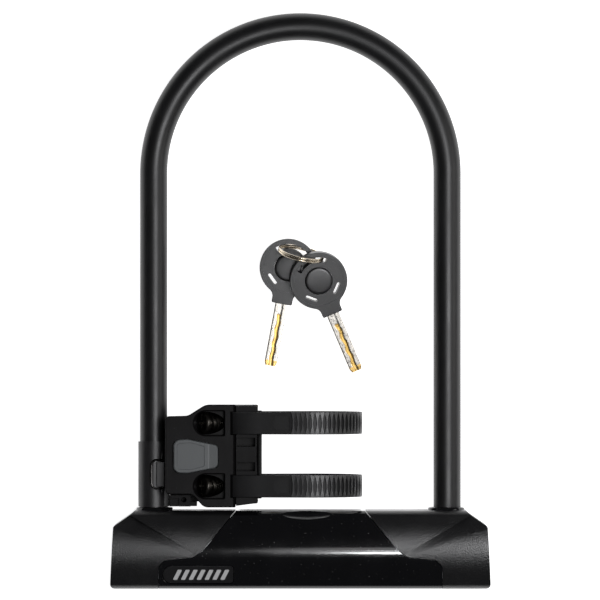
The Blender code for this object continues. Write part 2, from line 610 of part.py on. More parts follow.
def build_collar(shackle):
    """The clamp on the left leg, its adapter tongue and its wire bail."""
    swivel = joint("collar_swivel", (-LEG_X, 0.047, LEG_Z), shackle)
    collar = ring("clamp_collar", COLLAR_INNER, COLLAR_OUTER, (-LEG_X, COLLAR_LOW_Y, LEG_Z),
                  (-LEG_X, COLLAR_HIGH_Y, LEG_Z), BRACKET_PLASTIC, steps=32)
    ears = box("ears_joiner", (-LEG_X - 0.0045, 0.0320, 0.0065), (-LEG_X + 0.0045, 0.0620, 0.0150))
    pad = box("pad_joiner", (-0.0860, COLLAR_LOW_Y + 0.0004, 0.0232),
              (PAD_FACE_X, COLLAR_HIGH_Y - 0.0004, 0.0298))
    lug = box("lug_joiner", (-0.0895, 0.0395, 0.0285), (-0.0848, 0.0545, 0.0345))
    bore = cylinder("collar_bore_cutter", (-LEG_X, 0.02, LEG_Z), (-LEG_X, 0.07, LEG_Z),
                    COLLAR_INNER + 0.0001, sides=32)
    slit = box("collar_slit_cutter", (-LEG_X - 0.0008, 0.02, 0.0), (-LEG_X + 0.0008, 0.07, 0.016))
    pivot_x, pivot_z = BAIL_PIVOT
    pivot_hole = cylinder("bail_hole_cutter", (pivot_x, 0.035, pivot_z), (pivot_x, 0.060, pivot_z),
                          BAIL_WIRE + GAP, sides=12)
    join(collar, ears, pad, lug)
    cut(collar, bore, slit, pivot_hole)
    pieces = [collar, ears, pad, lug, bore, slit, pivot_hole]
    screw_profile = [(0, 0.0135), (0.0015, 0.0135), (0.0015, 0.0028), (0.0028, 0.0028), (0.0028, 0), (0, 0)]
    for name, y in CLAMP_SCREW_LEVELS:
        hole = cylinder(name + "_clamp_cutter", (-0.11, y, CLAMP_SCREW_Z), (-0.07, y, CLAMP_SCREW_Z),
                        SCREW_HOLE, sides=12)
        cut(collar, hole)
        screw = turned(name + "_clamp_screw", screw_profile, (-0.0993, y, CLAMP_SCREW_Z),
                       (1, y, CLAMP_SCREW_Z), SCREW_STEEL, steps=16)
        pieces += [hole, screw]

    tongue = box("adapter_tongue", (-0.0796, 0.0300, 0.0202), (-0.0630, 0.0780, 0.0328), BRACKET_PLASTIC)
    neck = box("neck_joiner", (PAD_FACE_X + GAP, 0.0300, 0.0232), (-0.0790, 0.0660, 0.0298))
    foot = box("foot_joiner", (PAD_FACE_X + GAP, 0.0270, 0.0140), (-0.0684, 0.0342, 0.0380))
    toe = box("toe_joiner", (-0.0700, 0.0272, 0.0200), (-0.0646, 0.0300, 0.0370))
    recess = box("foot_recess_cutter", (-0.0812, 0.0255, 0.0365), (-0.0756, 0.0322, 0.0400))
    hole = cylinder("foot_hole_cutter", (-0.0726, 0.0312, 0.0300), (-0.0726, 0.0312, 0.0400), 0.0017,
                    sides=16)
    join(tongue, neck, foot, toe)
    cut(tongue, recess, hole)
    carry(swivel, *pieces, tongue, neck, foot, toe, recess, hole)

    flip = joint("bail_flip", (pivot_x, 0.047, pivot_z), swivel)
    low_y, high_y = BAIL_Y
    corner_x = BAIL_LEFT_X + BAIL_CORNER
    upper = [(pivot_x, high_y - BAIL_STUB, pivot_z), (pivot_x, high_y, pivot_z), (-0.0880, high_y, BAIL_Z)]
    round_top = [(x, y, BAIL_Z) for x, y in
                 arc((corner_x, high_y - BAIL_CORNER), BAIL_CORNER, math.pi / 2, math.pi, 4)]
    round_low = [(x, y, BAIL_Z) for x, y in
                 arc((corner_x, low_y + BAIL_CORNER), BAIL_CORNER, math.pi, math.pi * 1.5, 4)]
    lower = [(x, low_y + high_y - y, z) for x, y, z in reversed(upper)]
    bail = smooth(wire("wire_bail", upper + round_top + round_low + lower, BAIL_WIRE, CHROME))
    carry(flip, bail)
    return swivel


def plate_outline(inset=0.0, left=0.0):
    """The bracket's front outline: narrow at the leg, wider where the straps are."""
    i = inset
    return [(-0.0841 + left, 0.0347 + i, 0.0030), (-0.0672, 0.0347 + i, 0.0050),
            (-0.0600, 0.0266 + i, 0.0060), (-0.0403, 0.0266 + i, 0.0006), (-0.0403, 0.0906 - i, 0.0006),
            (-0.0590, 0.0906 - i, 0.0090), (-0.0700, 0.0836 - i, 0.0070),
            (-0.0841 + left, 0.0833 - i, 0.0025)]


def window_outline(level, grow=0.0):
    """A D-shaped window over a worm screw, round on the left."""
    half = 0.0075 + grow
    centre_x = -0.0588
    left = arc((centre_x, level), half, math.pi / 2, math.pi * 1.5, 10)
    return left + rounded([(centre_x, level - half, 0), (-0.0474 + grow, level - half, 0.001),
                           (-0.0474 + grow, level + half, 0.001), (centre_x, level + half, 0)], 2)[1:-1]


def strap_middle():
    """The strap's middle line in the XZ plane, from its tail in the base round to its anchor."""
    half_depth = STRAP_FRONT_Z - STRAP_MIDDLE_Z
    tail = [(-0.0555, 0.0243), (-0.0505, 0.0243), (-0.0478, 0.0262), (-0.0462, 0.0300),
            (-0.0448, 0.0370), (-0.0434, 0.0422), (-0.0414, 0.0448), (-0.0385, 0.0458)]
    front = [(-0.0265, 0.0466), (-0.0100, 0.0486)]
    reach = STRAP_END_X - STRAP_THICKNESS / 2 - STRAP_CENTRE_X
    loop = [(STRAP_CENTRE_X + reach * math.cos(t), STRAP_MIDDLE_Z + half_depth * math.sin(t))
            for t in [math.pi / 2 - math.pi * i / 22 for i in range(23)]]
    back = [(x, 2 * STRAP_MIDDLE_Z - z) for x, z in reversed(tail[4:] + front)]
    return tail + front + loop + back


def offset_line(points, distance):
    """Points moved sideways from a line by a distance."""
    moved = []
    for i, (x, z) in enumerate(points):
        before = Vector(points[max(i - 1, 0)])
        after = Vector(points[min(i + 1, len(points) - 1)])
        side = (after - before).normalized()
        moved.append((x - side.y * distance, z + side.x * distance))
    return moved


def strap_band(name, level, half_thickness, half_width, material=None):
    line = strap_middle()
    outline = offset_line(line, half_thickness) + list(reversed(offset_line(line, -half_thickness)))
    return prism(name, [outline], "xz", level - half_width, level + half_width, material)


def slot_places():
    """Middles and directions of the ladder slots, measured along the strap's middle line."""
    line = [Vector(point) for point in strap_middle()]
    start = next(i for i, point in enumerate(line) if point.x > -0.02)
    walked, wanted, places = 0.0, 0.0055, []
    for first, last in zip(line[start:], line[start + 1:]):
        length = (last - first).length
        while walked + length > wanted and len(places) < SLOT_COUNT:
            places.append((first.lerp(last, (wanted - walked) / length), last - first))
            wanted += SLOT_PITCH
        walked += length
    return places


def slot_cutter(name, level):
    """All the ladder slots of one strap, as one cutter."""
    shape = bmesh.new()
    for place, along in slot_places():
        turn = Matrix.Rotation(-math.atan2(along.y, along.x), 4, "Y")
        size = Matrix.Diagonal((SLOT_SIZE[0], SLOT_SIZE[1], 0.006, 1))
        middle = Matrix.Translation((place.x, level, place.y))
        bmesh.ops.create_cube(shape, size=1.0, matrix=middle @ turn @ size)
    return from_bmesh(name, shape, None)


def spread(outline, grow, round_by=0.0, least=0.0):
    """The button's outline moved away from its middle, with its corners rounded more or less."""
    x0, y0 = BUTTON_MIDDLE
    return [(x + math.copysign(grow, (x - x0) * grow), y + math.copysign(grow, (y - y0) * grow),
             max(r + round_by, least)) for x, y, r in outline]


def build_bracket(swivel):
    slide = joint("bracket_slide", (-0.070, 0.058, STRAP_MIDDLE_Z), swivel)
    plate = prism("bracket_plate", [rounded(plate_outline(), 5)], "xy", PLATE_LOW_Z, PLATE_HIGH_Z,
                  BRACKET_PLASTIC)
    base_outline = plate_outline(0.0005, 0.0025)
    base_outline[3:5] = [(BLOCK_RIGHT_X, 0.0290, 0.0008), (-0.0273, 0.0585, 0),
                         (BLOCK_RIGHT_X, 0.0901, 0.0008)]
    base = prism("bracket_base", [rounded(base_outline, 5)], "xy", BASE_LOW_Z, PLATE_LOW_Z - GAP,
                 BRACKET_PLASTIC)
    front_corners = [(BLOCK_LEFT_X, 0.0276, 0), (BLOCK_RIGHT_X - 0.0001, 0.0293, 0.0008),
                     (-0.0274, 0.0585, 0), (BLOCK_RIGHT_X - 0.0001, 0.0898, 0.0008),
                     (BLOCK_LEFT_X, 0.0898, 0)]
    join(base, prism("block_front_joiner", [rounded(front_corners, 2)], "xy", 0.030, BLOCK_HIGH_Z))
    channel = box("tongue_channel_cutter", (-0.0799, 0.0200, 0.0198), (-0.0626, 0.0784, 0.0332))
    neck_way = box("neck_way_cutter", (-0.0900, 0.0200, 0.0228), (-0.0794, 0.0784, 0.0302))
    well = prism("button_well_cutter", [rounded(spread(BUTTON_OUTLINE, 0.0016, 0.001), 3)], "xy",
                 0.0360, 0.050)
    lands = [(-0.0302, 0.0202), (-0.0202, 0.0102), (-0.0202, 0.0448), (-0.0302, 0.0348)]
    saddle = prism("saddle_cutter", [lands], "xz", 0.020, 0.100)
    cut(base, channel, neck_way, well, saddle)
    for name, y in (("upper", 0.0672), ("lower", 0.0520)):
        cut(base, box(name + "_pocket_cutter", (-0.0396, y - 0.0028, 0.0370), (-0.0282, y + 0.0028, 0.050)))
    pad_outline = [(-0.0299, 0.0204), (-0.0254, 0.0159), (-0.0240, 0.0173), (-0.0279, 0.0212),
                   (-0.0279, 0.0338), (-0.0240, 0.0377), (-0.0254, 0.0391), (-0.0299, 0.0346)]
    saddle_pad = prism("saddle_pad", [pad_outline], "xz", 0.0320, 0.0865, RUBBER)

    cut(plate, prism("button_hole_cutter", [rounded(spread(BUTTON_OUTLINE, 0.0004), 3)], "xy", 0.035, 0.050))
    pieces = [plate, base, saddle_pad]
    for name, level in STRAP_LEVELS:
        cut(plate, prism(name + "_window_cutter", [window_outline(level)], "xy", 0.035, 0.050))
        way = strap_band(name + "_way_cutter", level, STRAP_THICKNESS / 2 + 0.0004,
                         STRAP_WIDTH / 2 + 0.0004)
        cut(plate, way)
        cut(base, way)
        strap = strap_band(name + "_strap", level, STRAP_THICKNESS / 2, STRAP_WIDTH / 2, STRAP_PLASTIC)
        slots = slot_cutter(name + "_slots_cutter", level)
        cut(strap, slots)
        pieces += [way, strap, slots]
        build_worm(name, level, base, slide)
    carry(slide, *pieces)
    build_button(slide)


def build_worm(name, level, base, slide):
    """A tightening screw whose head leans towards the front of the bracket."""
    along = Vector((math.cos(WORM_TILT), 0, -math.sin(WORM_TILT)))
    head = Vector((WORM_HEAD_X, level, WORM_HEAD_Z))
    tip = head + along * 0.0140
    profile = [(0, 0.0140), (0.0030, 0.0140), (WORM_RADIUS, 0.0126)]
    for turn in range(3):
        foot = 0.0126 - turn * 0.0030
        profile += [(WORM_RADIUS, foot - 0.0008), (WORM_RADIUS - 0.0011, foot - 0.0014),
                    (WORM_RADIUS - 0.0011, foot - 0.0022), (WORM_RADIUS, foot - 0.0030)]
    profile += [(WORM_RADIUS, 0.0026), (WORM_HEAD_RADIUS, 0.0026), (WORM_HEAD_RADIUS, 0.0012),
                (WORM_HEAD_RADIUS - 0.0010, 0.0), (0, 0.0)]
    screw = turned(name + "_worm_screw", profile, head, tip, SCREW_STEEL, steps=16)
    frame = towards(head, tip)
    frame.translation = head
    arms = []
    for i, size in enumerate(((0.0062, 0.0013), (0.0013, 0.0062))):
        shape = bmesh.new()
        bmesh.ops.create_cube(shape, size=1.0, matrix=frame @ Matrix.Diagonal((*size, 0.0044, 1)))
        arms.append(from_bmesh("%s_driver_cutter_%d" % (name, i), shape, None))
    cut(screw, *arms)
    chamber = cylinder(name + "_chamber_cutter", head - along * 0.016, tip + along * 0.0006,
                       WORM_HEAD_RADIUS + 0.0006)
    cut(base, chamber)
    carry(slide, chamber)
    turn = joint(name + "_worm_turn", tuple(head), slide)
    carry(turn, screw, *arms)


def build_button(slide):
    x0, y0 = BUTTON_MIDDLE
    press = joint("button_press", (x0, y0, BUTTON_FLANGE_Z), slide)
    button = prism("release_button", [rounded(BUTTON_OUTLINE, 4)], "xy", BUTTON_LOW_Z, BUTTON_TOP_Z,
                   BUTTON_GREY)
    flange = prism("button_flange_joiner", [rounded(spread(BUTTON_OUTLINE, 0.0012), 4)], "xy",
                   BUTTON_LOW_Z, BUTTON_FLANGE_Z)
    hollow = prism("button_hollow_cutter", [rounded(spread(BUTTON_OUTLINE, -0.0020, -0.002, 0.001), 3)],
                   "xy", 0.030, BUTTON_TOP_Z - 0.0022)
    join(button, flange)
    cut(button, hollow)
    coil = []
    steps = SPRING_TURNS * 8
    for i in range(steps + 1):
        angle = i * math.pi / 4
        coil.append((x0 + SPRING_RADIUS * math.cos(angle), y0 + SPRING_RADIUS * math.sin(angle),
                     SPRING_Z[0] + (SPRING_Z[1] - SPRING_Z[0]) * i / steps))
    spring = wire("button_spring", coil, SPRING_WIRE, STEEL, resolution=1)
    carry(press, button, flange, hollow)
    carry(slide, spring)


def key_frame(centre, heading, pitch):
    """A key's place: its blade runs along its own -Y, and its tip leans down."""
    turn = Matrix.Rotation(heading, 4, "Z") @ Matrix.Rotation(pitch, 4, "X")
    return Matrix.Translation(centre) @ turn


def build_key(name, centre, heading, pitch, ring_place, lift):
    frame = key_frame(centre, heading, pitch)
    half = KEY_HEAD_THICKNESS / 2
    circle_end = math.asin(KEY_NECK_WIDTH / 2 / KEY_HEAD_RADIUS)
    outline = arc((0, 0), KEY_HEAD_RADIUS, -math.pi / 2 + circle_end, math.pi * 1.5 - circle_end, 32)
    outline += [(-KEY_NECK_WIDTH / 2, -KEY_NECK_END), (KEY_NECK_WIDTH / 2, -KEY_NECK_END)]
    inner, outer = RING_SLOT_RADIUS - RING_SLOT_WIDTH / 2, RING_SLOT_RADIUS + RING_SLOT_WIDTH / 2
    first, last = math.pi / 2 - RING_SLOT_HALF_ANGLE, math.pi / 2 + RING_SLOT_HALF_ANGLE
    ring_slot = arc((0, 0), outer, first, last, 10) + arc((0, 0), inner, last, first, 10)
    head = prism(name + "_head", [outline, ring_slot], "xy", -half, half, KEY_PLASTIC)
    tools = []
    for side in (-1, 1):
        middle = Matrix.Rotation(side * math.radians(44), 4, "Z") @ Matrix.Translation((0, -0.0122, 0))
        shape = bmesh.new()
        bmesh.ops.create_cube(shape, size=1.0, matrix=middle @ Matrix.Diagonal((0.0078, 0.0020, 0.02, 1)))
        tools.append(from_bmesh(name + "_slot_cutter", shape, None))
    seat = cylinder(name + "_seat_cutter", (0, 0, -0.01), (0, 0, 0.01), KEY_DISC_RADIUS + GAP, sides=32)
    channel = box(name + "_tang_cutter", (-0.0045, -0.03, -BLADE_THICKNESS / 2 - GAP),
                  (0.0045, -0.0100, BLADE_THICKNESS / 2 + GAP))
    cut(head, *tools, seat, channel)
    radius, thickness = KEY_DISC_RADIUS, KEY_DISC_THICKNESS
    disc_profile = [(0, thickness), (radius - 0.0008, thickness), (radius, thickness - 0.0006),
                    (radius, 0.0006), (radius - 0.0008, 0), (0, 0)]
    disc = turned(name + "_disc", disc_profile, (0, 0, -thickness / 2), (0, 0, 1), KEY_PLASTIC, steps=32)
    width = BLADE_WIDTH / 2
    blade_outline = [(-width, -0.0104), (-width, -BLADE_TIP + 0.0050), (-0.0012, -BLADE_TIP),
                     (0.0012, -BLADE_TIP), (width, -BLADE_TIP + 0.0050), (width, -0.0104)]
    blade = prism(name + "_blade", [blade_outline], "xy", -BLADE_THICKNESS / 2, BLADE_THICKNESS / 2, NICKEL)
    groove = box(name + "_groove_cutter", (-0.0007, -0.0560, BLADE_THICKNESS / 2 - 0.0006),
                 (0.0007, -0.0250, 0.01))
    cut(blade, groove)
    swing = joint(name + "_swing", ring_place, lift)
    pieces = [head, disc, blade, seat, channel, groove, *tools]
    for piece in pieces:
        if piece is disc:
            piece.matrix_world = frame @ Matrix.Translation((0, 0, -KEY_DISC_THICKNESS / 2))
        else:
            piece.matrix_world = frame
    carry(swing, *pieces)


def build_keys(shackle):
    lift = joint("key_lift", (0, 0.150, 0.005), shackle)
    along = Vector((math.cos(RING_HEADING), math.sin(RING_HEADING), 0))
    level = Vector((math.sin(RING_HEADING), -math.cos(RING_HEADING), 0))
    upright = level * math.cos(RING_LEAN) + Vector((0, 0, math.sin(RING_LEAN)))
    points = []
    for i in range(28):
        angle = math.tau * i / 28
        out = along * math.cos(angle) + upright * math.sin(angle)
        points.append(Vector(RING_CENTRE) + out * RING_RADIUS)
    carry(lift, smooth(wire("key_ring", points, RING_WIRE, CHROME, cyclic=True, resolution=2)))
    for name, centre, heading, pitch, ring_place in KEYS:
        build_key(name, centre, heading, pitch, ring_place, lift)


def build():
    shackle = joint("shackle", (0, 0, LEG_Z))
    build_shackle()
    build_crossbar(shackle)
    swivel = build_collar(shackle)
    build_bracket(swivel)
    build_keys(shackle)


build()
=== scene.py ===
import math

import bmesh
import bpy
from mathutils import Matrix, Vector


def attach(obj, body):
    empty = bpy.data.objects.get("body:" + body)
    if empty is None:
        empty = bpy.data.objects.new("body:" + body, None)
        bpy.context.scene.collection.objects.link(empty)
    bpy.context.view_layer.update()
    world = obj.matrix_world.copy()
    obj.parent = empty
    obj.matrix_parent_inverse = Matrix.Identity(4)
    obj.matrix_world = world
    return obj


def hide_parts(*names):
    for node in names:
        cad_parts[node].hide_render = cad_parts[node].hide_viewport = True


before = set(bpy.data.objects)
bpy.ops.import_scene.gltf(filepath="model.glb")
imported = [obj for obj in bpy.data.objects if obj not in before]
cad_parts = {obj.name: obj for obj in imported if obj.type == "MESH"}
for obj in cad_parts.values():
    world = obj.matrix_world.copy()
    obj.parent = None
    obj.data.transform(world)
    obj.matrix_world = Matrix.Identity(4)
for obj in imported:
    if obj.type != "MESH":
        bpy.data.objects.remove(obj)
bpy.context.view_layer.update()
pi = math.pi
# points this near each other count as one after a cut
weldReach = 2e-6


def newObject(name, mesh):
    made = bpy.data.objects.new(name, mesh)
    bpy.context.scene.collection.objects.link(made)
    return made


def fromBmesh(name, shape):
    bmesh.ops.recalc_face_normals(shape, faces=shape.faces)
    mesh = bpy.data.meshes.new(name)
    shape.to_mesh(mesh)
    shape.free()
    return newObject(name, mesh)


def smoothByAngle(made, degrees=32):
    made.data.shade_smooth()
    made.data.set_sharp_from_angle(angle=math.radians(degrees))
    return made


def arc(cx, cy, radius, first, last, steps):
    return [(cx + radius * math.cos(first + (last - first) * i / steps),
             cy + radius * math.sin(first + (last - first) * i / steps)) for i in range(steps + 1)]


# points round (x, y, radius) corners
def roundedOutline(corners, steps=6):
    points = []
    for i, (x, y, radius) in enumerate(corners):
        here = Vector((x, y))
        before = (Vector(corners[i - 1][:2]) - here).normalized()
        after = (Vector(corners[(i + 1) % len(corners)][:2]) - here).normalized()
        half = before.angle(after) / 2
        if radius <= 0 or half > pi / 2 - 0.01:
            points.append((x, y))
            continue
        reach = radius / math.tan(half)
        first, last = here + before * reach, here + after * reach
        centre = here + (before + after).normalized() * radius / math.sin(half)
        start = math.atan2(first.y - centre.y, first.x - centre.x)
        turn = math.atan2(last.y - centre.y, last.x - centre.x) - start
        turn = (turn + pi) % (2 * pi) - pi
        points += arc(centre.x, centre.y, radius, start, start + turn, steps)
    return points


# how a drawing plane's two directions and its height lie in space
planes = {
    "xy": lambda a, b, c: (a, b, c),
    "xz": lambda a, b, c: (a, c, b),
    "yz": lambda a, b, c: (c, a, b),
}


# a skin over rings of points, with its two ends capped, or joined when it is closed
def loft(name, rings, closed=False, triangles=False):
    shape = bmesh.new()
    rows = [[shape.verts.new(point) for point in ring] for ring in rings]
    count = len(rows[0])
    pairs = list(zip(rows, rows[1:])) + ([(rows[-1], rows[0])] if closed else [])
    for low, high in pairs:
        for i in range(count):
            shape.faces.new((low[i], low[(i + 1) % count], high[(i + 1) % count], high[i]))
    if not closed:
        shape.faces.new(list(reversed(rows[0])))
        shape.faces.new(rows[-1])
    if triangles:
        bmesh.ops.triangulate(shape, faces=shape.faces)
    return fromBmesh(name, shape)


def prism(name, outline, plane, low, high):
    place = planes[plane]
    return loft(name, [[place(a, b, height) for a, b in outline] for height in (low, high)])


# turns a profile of (radius, height) points round an axis
def revolve(name, profile, origin, axis, steps=64, closed=True):
    turn = Vector((0, 0, 1)).rotation_difference(Vector(axis)).to_matrix().to_4x4()
    place = Matrix.Translation(origin) @ turn
    angles = [2 * pi * i / steps for i in range(steps)]
    shape = bmesh.new()
    rows = []
    for radius, height in profile:
        points = [(radius * math.cos(t), radius * math.sin(t), height) for t in angles]
        # a point on the axis is one vertex
        rows.append([shape.verts.new(place @ Vector(point)) for point in points[:1 if radius == 0 else None]])
    pairs = list(zip(rows, rows[1:])) + ([(rows[-1], rows[0])] if closed else [])
    for low, high in pairs:
        if len(low) == 1 and len(high) == 1:
            continue
        for i in range(steps):
            j = (i + 1) % steps
            if len(low) == 1:
                shape.faces.new((low[0], high[j], high[i]))
            elif len(high) == 1:
                shape.faces.new((low[i], low[j], high[0]))
            else:
                shape.faces.new((low[i], low[j], high[j], high[i]))
    return smoothByAngle(fromBmesh(name, shape), 40)


def boxMesh(name, low, high, place=Matrix()):
    shape = bmesh.new()
    size = [high[i] - low[i] for i in range(3)]
    middle = [(high[i] + low[i]) / 2 for i in range(3)]
    bmesh.ops.create_cube(shape, size=1.0,
                          matrix=place @ Matrix.Translation(middle) @ Matrix.Diagonal((*size, 1)))
    return fromBmesh(name, shape)


def applied(made):
    bpy.context.view_layer.update()
    mesh = bpy.data.meshes.new_from_object(made.evaluated_get(bpy.context.evaluated_depsgraph_get()))
    made.modifiers.clear()
    made.data = mesh
    return made


def combine(target, operation, *tools):
    for tool in tools:
        modifier = target.modifiers.new("boolean", "BOOLEAN")
        modifier.operation, modifier.solver, modifier.object = operation, "EXACT", tool
    applied(target)
    for tool in tools:
        bpy.data.objects.remove(tool)
    shape = bmesh.new()
    shape.from_mesh(target.data)
    bmesh.ops.remove_doubles(shape, verts=shape.verts, dist=weldReach)
    bmesh.ops.dissolve_degenerate(shape, edges=shape.edges, dist=weldReach)
    shape.to_mesh(target.data)
    shape.free()
    return target


def cut(target, *tools):
    return combine(target, "DIFFERENCE", *tools)


def keep(target, *tools):
    return combine(target, "INTERSECT", *tools)


def join(target, *tools):
    return combine(target, "UNION", *tools)


# normals that follow the large faces, so that narrow bevels don't bend the reflections
def weighNormals(made):
    modifier = made.modifiers.new("normals", "WEIGHTED_NORMAL")
    modifier.mode, modifier.weight, modifier.keep_sharp = "FACE_AREA", 100, True
    return applied(made)


# rounds the sharp edges, or those whose middle point is chosen
def roundEdges(made, width, segments=3, angle=35, chosen=None, clamp=True):
    shape = bmesh.new()
    shape.from_mesh(made.data)
    limit = math.radians(angle)
    edges = [e for e in shape.edges if len(e.link_faces) == 2 and e.calc_face_angle(0) > limit
             and (chosen is None or chosen((e.verts[0].co + e.verts[1].co) / 2))]
    bmesh.ops.bevel(shape, geom=edges, offset=width, offset_type="OFFSET", segments=segments, profile=0.5,
                    affect="EDGES", clamp_overlap=clamp)
    shape.to_mesh(made.data)
    shape.free()
    return made


# a CAD node's copy with merged triangles and rounded edges
def softCopy(node, width, segments=2, angle=35, clamp=True):
    made = newObject(node + "Piece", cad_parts[node].data.copy())
    made.data.materials.clear()
    shape = bmesh.new()
    shape.from_mesh(made.data)
    bmesh.ops.remove_doubles(shape, verts=shape.verts, dist=weldReach / 2)
    bmesh.ops.dissolve_limit(shape, angle_limit=math.radians(0.5), verts=shape.verts, edges=shape.edges)
    shape.to_mesh(made.data)
    shape.free()
    for name in [a.name for a in made.data.attributes if a.name == "custom_normal"]:
        made.data.attributes.remove(made.data.attributes[name])
    roundEdges(made, width, segments, angle, clamp=clamp)
    return weighNormals(smoothByAngle(made, 40))


def finishPiece(made, material, body, nodes=()):
    made.data.materials.clear()
    made.data.materials.append(material)
    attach(made, body)
    if nodes:
        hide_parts(*nodes)
    return made


# feeds holds the outputs that go into the node's inputs, settings the inputs whose names have spaces
def addNode(tree, kind, feeds=None, settings=None, **values):
    node = tree.nodes.new(kind)
    for key, value in values.items():
        if key in node.inputs.keys():
            node.inputs[key].default_value = value
        else:
            setattr(node, key, value)
    for key, value in (settings or {}).items():
        node.inputs[key].default_value = value
    for key, output in (feeds or {}).items():
        tree.links.new(output, node.inputs[key])
    return node


# a finish with uneven tone and gloss, fine scratches, dust, and fine and broad unevenness
def surface(name, look):
    made = bpy.data.materials.new(name)
    made.use_nodes = True
    tree = made.node_tree
    shader = tree.nodes["Principled BSDF"]
    shader.inputs["Metallic"].default_value = look.get("metallic", 0.0)
    shader.inputs["Specular IOR Level"].default_value = look.get("specular", 0.5)
    place = addNode(tree, "ShaderNodeTexCoord").outputs["Object"]

    cloud = addNode(tree, "ShaderNodeTexNoise", {"Vector": place}, Scale=look.get("cloudScale", 45.0),
                    Detail=4.0, Roughness=0.6)
    spread = look.get("cloud", 0.15)
    tone = addNode(tree, "ShaderNodeMapRange", {"Value": cloud.outputs["Fac"]},
                   {"From Min": 0.3, "From Max": 0.7, "To Min": 1 - spread, "To Max": 1 + spread})

    stretch = addNode(tree, "ShaderNodeMapping", {"Vector": place}, Rotation=(0.0, 0.0, 0.5),
                      Scale=look.get("scratchStretch", (1.0, 18.0, 18.0)))
    hair = addNode(tree, "ShaderNodeTexNoise", {"Vector": stretch.outputs["Vector"]},
                   Scale=look.get("scratchScale", 60.0), Detail=6.0, Roughness=0.7)
    scratch = addNode(tree, "ShaderNodeMapRange", {"Value": hair.outputs["Fac"]},
                      {"From Min": 0.66, "From Max": 0.74, "To Max": look.get("scratch", 0.2)})

    speck = addNode(tree, "ShaderNodeTexNoise", {"Vector": place}, Scale=look.get("dustScale", 900.0),
                    Detail=2.0, Roughness=0.5)
    dust = addNode(tree, "ShaderNodeMapRange", {"Value": speck.outputs["Fac"]},
                   {"From Min": 0.70, "From Max": 0.76, "To Max": look.get("dust", 0.1)})

    marks = addNode(tree, "ShaderNodeMath", {0: scratch.outputs["Result"], 1: dust.outputs["Result"]},
                    operation="ADD")
    toned = addNode(tree, "ShaderNodeVectorMath", operation="SCALE")
    toned.inputs[0].default_value = look["color"]
    tree.links.new(tone.outputs["Result"], toned.inputs["Scale"])
    color = addNode(tree, "ShaderNodeMix", data_type="RGBA")
    color.inputs["B"].default_value = (*look.get("markColor", (0.35, 0.34, 0.33)), 1)
    tree.links.new(marks.outputs[0], color.inputs["Factor"])
    tree.links.new(toned.outputs["Vector"], color.inputs["A"])
    # milled grooves take a tint of their own
    if "tint" in look:
        cutMark = addNode(tree, "ShaderNodeAttribute", attribute_name="millCut")
        tinted = addNode(tree, "ShaderNodeMix", data_type="RGBA")
        tinted.inputs["B"].default_value = (*look["tint"], 1)
        tree.links.new(cutMark.outputs["Fac"], tinted.inputs["Factor"])
        tree.links.new(color.outputs["Result"], tinted.inputs["A"])
        color = tinted
    tree.links.new(color.outputs["Result"], shader.inputs["Base Color"])

    rough = addNode(tree, "ShaderNodeMath", {0: tone.outputs["Result"]}, {1: look["roughness"]},
                    operation="MULTIPLY")
    roughMarks = addNode(tree, "ShaderNodeMath", {0: rough.outputs[0], 1: marks.outputs[0]}, operation="ADD",
                         use_clamp=True)
    tree.links.new(roughMarks.outputs[0], shader.inputs["Roughness"])

    grain = addNode(tree, "ShaderNodeTexNoise", {"Vector": place}, Scale=look.get("grainScale", 1500.0),
                    Detail=3.0, Roughness=0.6)
    wave = addNode(tree, "ShaderNodeTexNoise", {"Vector": place}, Scale=look.get("waveScale", 70.0),
                   Detail=2.0, Roughness=0.5)
    broad = addNode(tree, "ShaderNodeBump", {"Height": wave.outputs["Fac"]}, Strength=look.get("wave", 0.2),
                    Distance=look.get("waveDepth", 0.0002))
    fine = addNode(tree, "ShaderNodeBump",
                   {"Height": grain.outputs["Fac"], "Normal": broad.outputs["Normal"]},
                   Strength=look.get("grain", 0.15), Distance=look.get("grainDepth", 0.0002))
    tree.links.new(fine.outputs["Normal"], shader.inputs["Normal"])
    return made


